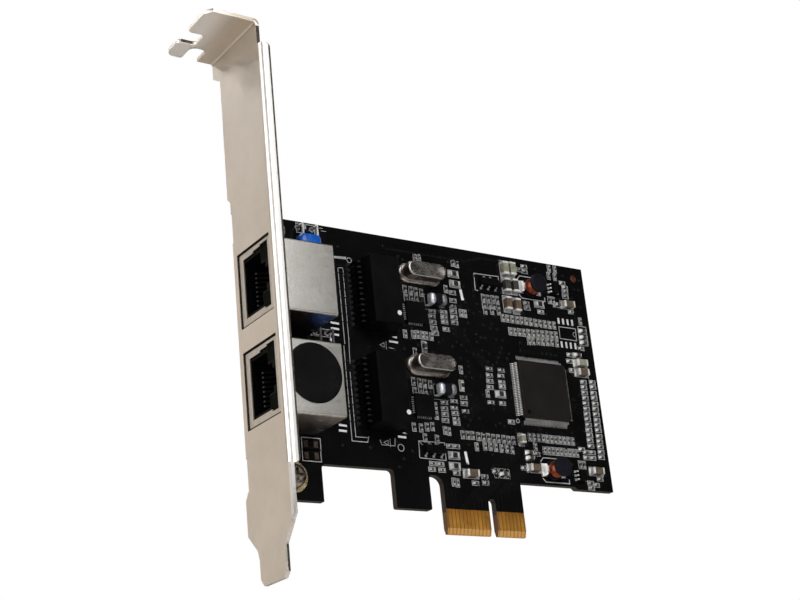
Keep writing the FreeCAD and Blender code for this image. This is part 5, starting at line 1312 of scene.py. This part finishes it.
# chokes' and inductors' frames
for cx, cz in ((49.85, 32.05), (49.95, 53.35)):
    line([(cx - 1.2, cz + 1.95), (cx + 3.35, cz + 1.95), (cx + 3.35, cz + 1.2)], 0.16)
    line([(cx + 1.2, cz - 1.95), (cx - 3.35, cz - 1.95), (cx - 3.35, cz - 1.2)], 0.16)
for cx, cz in ((78.5, 15.85), (78.5, 60.6)):
    line([(cx - 3.5, cz + 1.9), (cx - 2.6, cz + 2.9), (cx + 4.3, cz + 2.9), (cx + 4.3, cz + 1.8)], 0.24)
    line([(cx - 3.5, cz - 1.9), (cx - 2.6, cz - 2.8), (cx + 4.3, cz - 2.8), (cx + 4.3, cz - 1.8)], 0.24)
# unfilled eight-pad footprint
line([(85.95, 48.8), (91.0, 48.75), (91.15, 51.85), (86.0, 51.8)], 0.17, True)
silk.ring(90.75, 50.3, 0.5, 0.64, S, 0.013, 0, 18, 90, 270)
for x in (86.2, 87.6, 88.98, 90.4):
    for z0, z1 in ((52.55, 54.05), (46.55, 48.1)):
        bare.block((x - 0.29, -0.035, z0), (x + 0.29, -0.001, z1), 0.02, 0)
# other unfilled places
rect(12.2, 16.65, 13.8, 16.25, 0.2)
rect(12.25, 16.75, 16.25, 18.8, 0.2)
for z in (15.0, 17.5):
    for x in (13.2, 15.6):
        rust.block((x - 0.5, -0.035, z - 0.72), (x + 0.5, -0.001, z + 0.72), 0.02, 0)
for k in range(3):
    x = 61.9 + 1.55 * k
    rect(x - 0.62, x + 0.62, 13.2, 15.35, 0.12)
    for z in (13.75, 14.8):
        shade.block((x - 0.32, -0.035, z - 0.28), (x + 0.32, -0.001, z + 0.28), 0.02, 0)
rect(92.05, 94.55, 48.15, 52.65, 0.14)
# pin-one dots on the transformers
dots = Build()
for x, z in ((35.7, 24.4), (35.9, 47.0)):
    dots.lathe(x, z, [(0.56, -6.001), (0.55, -6.012), (0.4, -6.016), (0.1, -6.017)], 0, 28)
dots.done("pin_one_dots", [M_SILK_BRIGHT], None, "board_mask")

# ---------------------------------------------------------------- tracks under the mask, tented holes, solder behind
from mathutils.bvhtree import BVHTree
_me = NODES["circuit_board"].data
BOARD_TREE = BVHTree.FromPolygons([v.co for v in _me.vertices], [list(p.vertices) for p in _me.polygons])


def board_has(x, z, m=0.9, low=False):
    """Inside the board's outline, clear of its edges by m; low also allows the strip with the contacts."""
    if not (2.6 + m < x < 95.7 - m and z < 67.9 - m):
        return False
    for dx, dz in ((m, 0), (-m, 0), (0, m), (0, -m)):
        hit = BOARD_TREE.ray_cast(Vector(((x + dx) * MM, -0.01, (z + dz) * MM)), Vector((0, 1, 0)), 0.0105)
        if hit[0] is None:
            return False
    return low or z > 5.0


tracks = Build()
T0 = 0.022


def track(pts, w=0.2, face=0):
    """Only where the board is: a run stops short of any cut in the outline."""
    run, fine = [], []
    for (xa, za), (xb, zb_) in zip(pts, pts[1:]):
        n = max(1, int(math.hypot(xb - xa, zb_ - za) / 0.5))
        fine += [(xa + (xb - xa) * k / n, za + (zb_ - za) * k / n, k == 0) for k in range(n)]
    fine.append((pts[-1][0], pts[-1][1], True))
    for x, z, corner in fine + [(None, None, True)]:
        if x is not None and board_has(x, z, 0.35 + w / 2, True):
            run.append((x, z, corner))
            continue
        if len(run) > 2:
            keep = [run[0][:2]] + [p[:2] for p in run[1:-1] if p[2]] + [run[-1][:2]]
            if face == 0:
                tracks.stroke(keep, w, -T0, T0 - 0.002, 0)
            else:
                tracks.stroke(keep, w, 1.57 + T0, T0 - 0.002, 0)
        run = []


def jog(x0, z0, x1, z1, first="x"):
    """Run, 45 degree step, run."""
    dx, dz = x1 - x0, z1 - z0
    if abs(dz) < 1e-6 or abs(dx) < 1e-6:
        return [(x0, z0), (x1, z1)]
    if first == "x":
        m = abs(dx) - abs(dz)
        a = x0 + math.copysign(m * 0.5, dx)
        return [(x0, z0), (a, z0), (a + math.copysign(abs(dz), dx), z1), (x1, z1)] if m > 0 else [(x0, z0), (x0 + dx, z0 + math.copysign(abs(dx), dz)), (x1, z1)]
    m = abs(dz) - abs(dx)
    a = z0 + math.copysign(m * 0.5, dz)
    return [(x0, z0), (x0, a), (x1, a + math.copysign(abs(dx), dz)), (x1, z1)] if m > 0 else [(x0, z0), (x0 + math.copysign(abs(dz), dx), z0 + dz), (x1, z1)]


# contacts up to the bridge chip, in pairs
for k in range(18):
    c = 47.595 + 0.36 + k * 1.0 if k < 11 else 60.67 + 0.825 + (k - 11) * 1.0
    zt_ = (11.6, 9.9, 10.8, 12.4)[k % 4] if k < 3 else 26.1
    tx = 71.2 + (k - 3) * 0.4 if k >= 3 else c
    track(jog(c, 5.4, tx, zt_, "z"), 0.18)
# jacks to the transformers
for zb, zc in ((19.39, 29.8), (41.23, 52.4)):
    for k in range(8):
        z0 = zb + 4.4 + k * 1.02
        z1 = zc + (k - 3.5) * 1.27 * 1.5
        track(jog(15.6, z0, 26.6 if zc < 40 else 27.4, z1), 0.22)
# transformers to the controllers
for zc, tx, lz, lx in ((29.8, 38.5, 28.3, 41.2), (52.4, 39.3, 50.1, 41.4)):
    for k in range(8):
        track(jog(tx, zc + (k - 3.5) * 1.27, lx, lz + (k - 3.5) * 0.5), 0.16)
# controllers to the bridge chip
for lz, x0, base in ((28.3, 46.6, 29.0), (50.1, 46.8, 36.5)):
    for k in range(8):
        z0 = lz + (k - 3.5) * 0.5
        track(jog(x0, z0, 69.8, base + k * 0.4), 0.15)
# bridge chip up and to the right
for k in range(14):
    x = 73.2 + k * 0.72
    track(jog(x - 0.2 * (k - 7) * 0.4, 42.7, x, 46.6, "z"), 0.16)
for k in range(10):
    track(jog(86.1, 30.2 + k * 0.8, 90.6, 29.4 + k * 1.05), 0.16)
# supply runs
for pts, w in (([(80.9, 60.6), (84.0, 60.6)], 1.4), ([(70.0, 60.4), (75.6, 60.6)], 1.3),
               ([(69.5, 20.4), (75.6, 16.4)], 1.2), ([(80.9, 15.85), (84.4, 15.4)], 1.3), ([(52.9, 53.35), (57.6, 53.35)], 0.7),
               ([(52.9, 32.05), (58.0, 32.05)], 0.7), ([(91.5, 57.2), (91.5, 44.5), (92.6, 43.4)], 0.6),
               ([(38.0, 64.9), (60.0, 64.9), (64.6, 66.4), (72.0, 66.4)], 0.5), ([(3.2, 14.6), (3.2, 60.0)], 0.6)):
    track(pts, w)

# the other face: long runs between the jacks, the controllers and the contacts
for k in range(16):
    c = 48.4 + k * 1.05 + (0 if k < 10 else 2.2)
    track(jog(c, 6.6, 30.0 + k * 2.3, 24.0 + (k % 4) * 0.5, "z"), 0.2, 1)
for k in range(12):
    track(jog(20.0 + 0.5 * k, 20.0 + k * 0.55, 66.0 - 0.4 * k, 33.0 + k * 0.62), 0.18, 1)
for k in range(10):
    track(jog(21.0, 44.0 + k * 0.6, 60.0 + k * 0.5, 48.0 + k * 0.6), 0.18, 1)
for k in range(9):
    track(jog(66.0 + k * 1.2, 28.0, 74.0 + k * 1.4, 58.0 - k * 0.5, "z"), 0.2, 1)
for pts, w in (([(4.0, 16.0), (4.0, 60.0)], 1.4), ([(92.6, 14.0), (92.6, 62.0)], 1.0), ([(22.0, 64.8), (90.0, 64.8)], 0.9),
               ([(44.0, 12.0), (66.0, 12.0), (74.0, 20.0)], 0.8)):
    track(pts, w, 1)
tracks.done("masked_tracks", [M_MASK], None, "board_mask", weighted=False)

busy = []
for n_ in ("transformer_lower", "transformer_upper", "bridge_chip", "bridge_chip_leads", "port_shield_lower", "port_shield_upper",
           "crystal_base_lower", "crystal_base_upper", "transformer_leads_lower", "transformer_leads_upper"):
    lo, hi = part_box(n_)
    busy.append((lo[0] / MM - 0.5, hi[0] / MM + 0.5, lo[2] / MM - 0.5, hi[2] / MM + 0.5))
for n_ in ("chip_resistors", "chip_capacitors", "large_capacitors", "lan_controller_lower", "lan_controller_upper", "filter_choke_terminals",
           "filter_choke_bodies", "inductor_cores", "regulator_bodies", "regulator_leads", "disc_capacitor_upper", "disc_capacitor_lower"):
    for lo, hi in solids(n_):
        busy.append((lo[0] - 0.75, hi[0] + 0.75, lo[2] - 0.55, hi[2] + 0.55))
busy += [(45.5, 69.5, -1, 8.6), (5.5, 13.8, 6.0, 14.6), (5.0, 13.2, 60.5, 68), (84.5, 92.2, 46, 54.5), (61, 66.6, 12.8, 15.8)]


holes = Build()
spots = []


def tented(x, z, r=0.3):
    spots.append((x, z))
    holes.lathe(x, z, [(r + 0.06, -0.001), (r + 0.03, -0.02), (r - 0.03, -0.03), (r - 0.12, -0.024), (0.05, -0.012)], 0, 14, caps=(True, True))
    holes.lathe(x, z, [(r + 0.06, 1.571), (r + 0.03, 1.59), (r - 0.03, 1.6), (r - 0.12, 1.594), (0.05, 1.582)], 0, 14, caps=(True, True))


for k in range(9):
    tented(73.4 + k * 1.31, 44.3, 0.28)
tries = 0
while len(spots) < 190 and tries < 9000:
    tries += 1
    if tries % 3:
        cx, cz = rng.choice(((44, 50), (44, 28), (78, 35), (64, 55), (60, 24), (88, 58), (88, 20), (56, 42), (66, 42)))
        x, z = rng.gauss(cx, 6.5), rng.gauss(cz, 6.0)
    else:
        x, z = rng.uniform(17, 94), rng.uniform(9, 66)
    x, z = round(x / 0.635) * 0.635, round(z / 0.635) * 0.635
    if any(a < x < b and c_ < z < d for a, b, c_, d in busy) or not board_has(x, z):
        continue
    if any(abs(x - p) < 1.15 and abs(z - q) < 1.15 for p, q in spots):
        continue
    tented(x, z, rng.choice((0.28, 0.3, 0.34)))
holes.done("tented_holes", [M_MASK], None, "board_mask")

# solder on the through-board pins: domes behind, small rings in front at the disc wires
joints = Build()
pins = Build()


def joint(x, z, pin_r, land, tip, square=False):
    prof = [(land, 1.571), (land, 1.6), (land * 0.86, 1.66), (pin_r + 0.34 * (land - pin_r), 1.86), (pin_r + 0.08, 2.14), (pin_r + 0.02, 2.3)]
    prof = [(r * 1.0, y) for r, y in prof]
    joints.lathe(x, z, prof + [(0.02, 2.31)], 0, 20)
    if tip:
        if square:
            pins.block((x - pin_r, 2.0, z - pin_r), (x + pin_r, tip, z + pin_r), 0.05, 0)
        else:
            pins.lathe(x, z, [(pin_r, 2.0), (pin_r, tip - 0.08), (pin_r - 0.08, tip)], 0, 14)


for zb in (19.39, 41.23):
    zc = zb + 8.0
    for k in range(8):
        joint((11.0, 13.54)[k % 2], zc + (k - 3.5) * 1.02, 0.23, 0.72, 2.62, True)
    for s in (-1, 1):
        for dx in (1.6, 4.14):
            joint(2.9 + dx, zc + s * 6.4, 0.25, 0.7, 2.6, True)
        joint(12.6, zc + s * 7.6, 0.42, 1.25, 2.7, True)
for x, z in ((15.2, 66.4), (18.8, 66.4), (17.5, 42.5), (20.6, 42.5)):
    joint(x, z, 0.3, 0.85, None)
    joints.ring(x, z, 0.34, 0.62, -0.035, 0.034, 0, 24)
    joints.lathe(x, z, [(0.56, -0.03), (0.44, -0.1), (0.34, -0.22), (0.31, -0.26)], 0, 20)
joints.done("solder_joints", [M_SOLDER], None, "lead_tin")
pins.done("pin_ends", [M_TIN], None, "lead_tin")

# alignment marks and test lands
marks = Build()
for x, z, r in ((92.7, 65.0, 0.9),):
    marks.lathe(x, z, [(r, -0.001), (r, -0.018), (r - 0.02, -0.02), (0.1, -0.021)], 0, 28)
marks.done("alignment_marks", [M_MARK], None, "gold")
tests = Build()
for k in range(14):
    x, z = 30.0 + (k % 7) * 7.6, (12.4 if k % 2 else 61.0) + (k // 7) * 3.1
    if board_has(x, z, 1.2):
        tests.lathe(x, z, [(0.5, 1.571), (0.5, 1.59), (0.46, 1.595), (0.1, 1.597)], 0, 24)
tests.done("test_lands", [M_SOLDER], None, "lead_tin")



silk.done("printed_lines", [M_SILK, M_SILK_BRIGHT], None, "board_mask", weighted=False)
pads.done("solder_lands", [M_SOLDER], None, "lead_tin")
shade.done("transformer_lands", [M_SHADED_LEAD], None, "lead_tin")
bare.done("bare_lands", [M_LAND], None, "lead_tin")
rust.done("unfilled_lands", [M_RUST], None, "copper")


# ---------------------------------------------------------------- stage, light and camera
def stage_mesh(name, verts, faces, mat):
    me = bpy.data.meshes.new(name)
    me.from_pydata(verts, [], faces)
    me.materials.append(mat)
    ob = bpy.data.objects.new(name, me)
    bpy.context.scene.collection.objects.link(ob)
    ob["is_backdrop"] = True
    return ob


t = Tree("floor_finish", rough=0.7, base=(0.9, 0.9, 0.9), spec=0.2)
t.color(t.mix(t.span(t.noise(60, 3.0), 0, 1, 0.3, 0.7), (0.86, 0.86, 0.86), (0.9, 0.9, 0.9)))
t.bump(t.noise(1.5, 4.0), 0.05, 0.05)
ray = t.n("ShaderNodeLightPath")
glow = t.n("ShaderNodeEmission")
glow.inputs["Color"].default_value = (0.95, 0.95, 0.95, 1)
glow.inputs["Strength"].default_value = 0.86
seen_mix = t.n("ShaderNodeMixShader")
t.link(t.math("MULTIPLY", ray.outputs["Is Camera Ray"], 0.8), seen_mix.inputs[0])
t.link(t.sh.outputs[0], seen_mix.inputs[1])
t.link(glow.outputs[0], seen_mix.inputs[2])
t.link(seen_mix.outputs[0], t.out.inputs[0])
R, n = 2.6, 64
verts = [(0.04, 0.0, -0.3)]
for rr in (0.5, 1.2, 2.0, R):
    verts += [(0.04 + rr * math.cos(2 * math.pi * k / n), rr * math.sin(2 * math.pi * k / n), -0.3) for k in range(n)]
faces = [[0, 1 + k, 1 + (k + 1) % n] for k in range(n)]
for q in range(3):
    a, b_ = 1 + q * n, 1 + (q + 1) * n
    faces += [[a + k, b_ + k, b_ + (k + 1) % n, a + (k + 1) % n] for k in range(n)]
floor = stage_mesh("floor", verts, faces, t.mat)

world = bpy.data.worlds.new("studio")
bpy.context.scene.world = world
world.use_nodes = True
wn_ = world.node_tree
wn_.nodes.clear()
wo = wn_.nodes.new("ShaderNodeOutputWorld")
seen = wn_.nodes.new("ShaderNodeBackground")
seen.inputs[0].default_value = (1.0, 1.0, 1.0, 1)
seen.inputs[1].default_value = 1.0
lit = wn_.nodes.new("ShaderNodeBackground")
tc = wn_.nodes.new("ShaderNodeTexCoord")
sp = wn_.nodes.new("ShaderNodeSeparateXYZ")
wn_.links.new(tc.outputs["Generated"], sp.inputs[0])
ramp = wn_.nodes.new("ShaderNodeValToRGB")
ramp.color_ramp.elements[0].position = 0.0
ramp.color_ramp.elements[0].color = (0.24, 0.225, 0.21, 1)
ramp.color_ramp.elements[1].position = 1.0
ramp.color_ramp.elements[1].color = (0.6, 0.6, 0.6, 1)
mr = wn_.nodes.new("ShaderNodeMapRange")
mr.inputs["From Min"].default_value = -1.0
mr.inputs["From Max"].default_value = 1.0
wn_.links.new(sp.outputs["Z"], mr.inputs["Value"])
wn_.links.new(mr.outputs[0], ramp.inputs[0])
wn_.links.new(ramp.outputs[0], lit.inputs[0])
lit.inputs[1].default_value = 0.02
lp = wn_.nodes.new("ShaderNodeLightPath")
ms = wn_.nodes.new("ShaderNodeMixShader")
wn_.links.new(lp.outputs["Is Camera Ray"], ms.inputs[0])
wn_.links.new(lit.outputs[0], ms.inputs[1])
wn_.links.new(seen.outputs[0], ms.inputs[2])
wn_.links.new(ms.outputs[0], wo.inputs[0])

CENTRE = Vector((0.042, -0.003, 0.045))


def softbox(name, direction, dist, size, watts, color=(1, 1, 1), aim=CENTRE):
    d = Vector(direction).normalized()
    lamp = bpy.data.lights.new(name, "AREA")
    lamp.shape = "RECTANGLE"
    lamp.size, lamp.size_y = size
    lamp.energy = watts
    lamp.color = color
    ob = bpy.data.objects.new(name, lamp)
    ob.location = aim + d * dist
    ob.rotation_mode = "QUATERNION"
    ob.rotation_quaternion = (-d).to_track_quat("-Z", "Y")
    bpy.context.scene.collection.objects.link(ob)
    return ob


def lamp_at(name, az, el, dist, size, radiance, color=(1, 1, 1)):
    a_, e_ = math.radians(az), math.radians(el)
    return softbox(name, (math.sin(a_) * math.cos(e_), -math.cos(a_) * math.cos(e_), math.sin(e_)), dist, size,
                   math.pi * size[0] * size[1] * radiance, color)


lamp_at("behind_high", 205, 55, 0.9, (0.55, 0.55), 6.3, (1.0, 0.965, 0.92))
lamp_at("front_high", 0, 32, 0.9, (0.55, 0.55), 3.8)
lamp_at("front_low", 0, 12, 0.9, (0.55, 0.55), 2.2)
lamp_at("left_low", 290, -5, 0.9, (0.55, 0.55), 2.8, (1.0, 0.97, 0.93))
lamp_at("left_high", 278, 20, 0.9, (0.6, 0.55), 2.6, (1.0, 0.97, 0.93))
lamp_at("behind_low", 205, 12, 0.9, (0.55, 0.55), 0.92, (1.0, 0.9, 0.79))
lamp_at("far_side", 102, 22, 0.9, (0.45, 0.45), 2.0)

# camera at the photograph's place
az, el, roll = math.radians(-35.41), math.radians(-20.58), math.radians(-5.8)
back = Vector((math.sin(az) * math.cos(el), -math.cos(az) * math.cos(el), math.sin(el)))
fwd = -back
right = fwd.cross(Vector((0, 0, 1))).normalized()
up = right.cross(fwd)
c, s = math.cos(roll), math.sin(roll)
r2 = right * c + up * s
u2 = up * c - right * s
cam_data = bpy.data.cameras.new("camera")
cam_data.sensor_fit = "HORIZONTAL"
cam_data.sensor_width = 36.0
cam_data.lens = 70.98
cam_data.clip_start, cam_data.clip_end = 0.01, 20.0
cam = bpy.data.objects.new("camera", cam_data)
cam.matrix_world = Matrix(((r2.x, u2.x, back.x, -0.15045), (r2.y, u2.y, back.y, -0.26868), (r2.z, u2.z, back.z, -0.07101), (0, 0, 0, 1)))
bpy.context.scene.collection.objects.link(cam)
bpy.context.scene.camera = cam

bpy.context.scene.view_settings.view_transform = "Standard"
bpy.context.scene.view_settings.look = "None"

bpy.context.view_layer.update()
lo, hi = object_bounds()
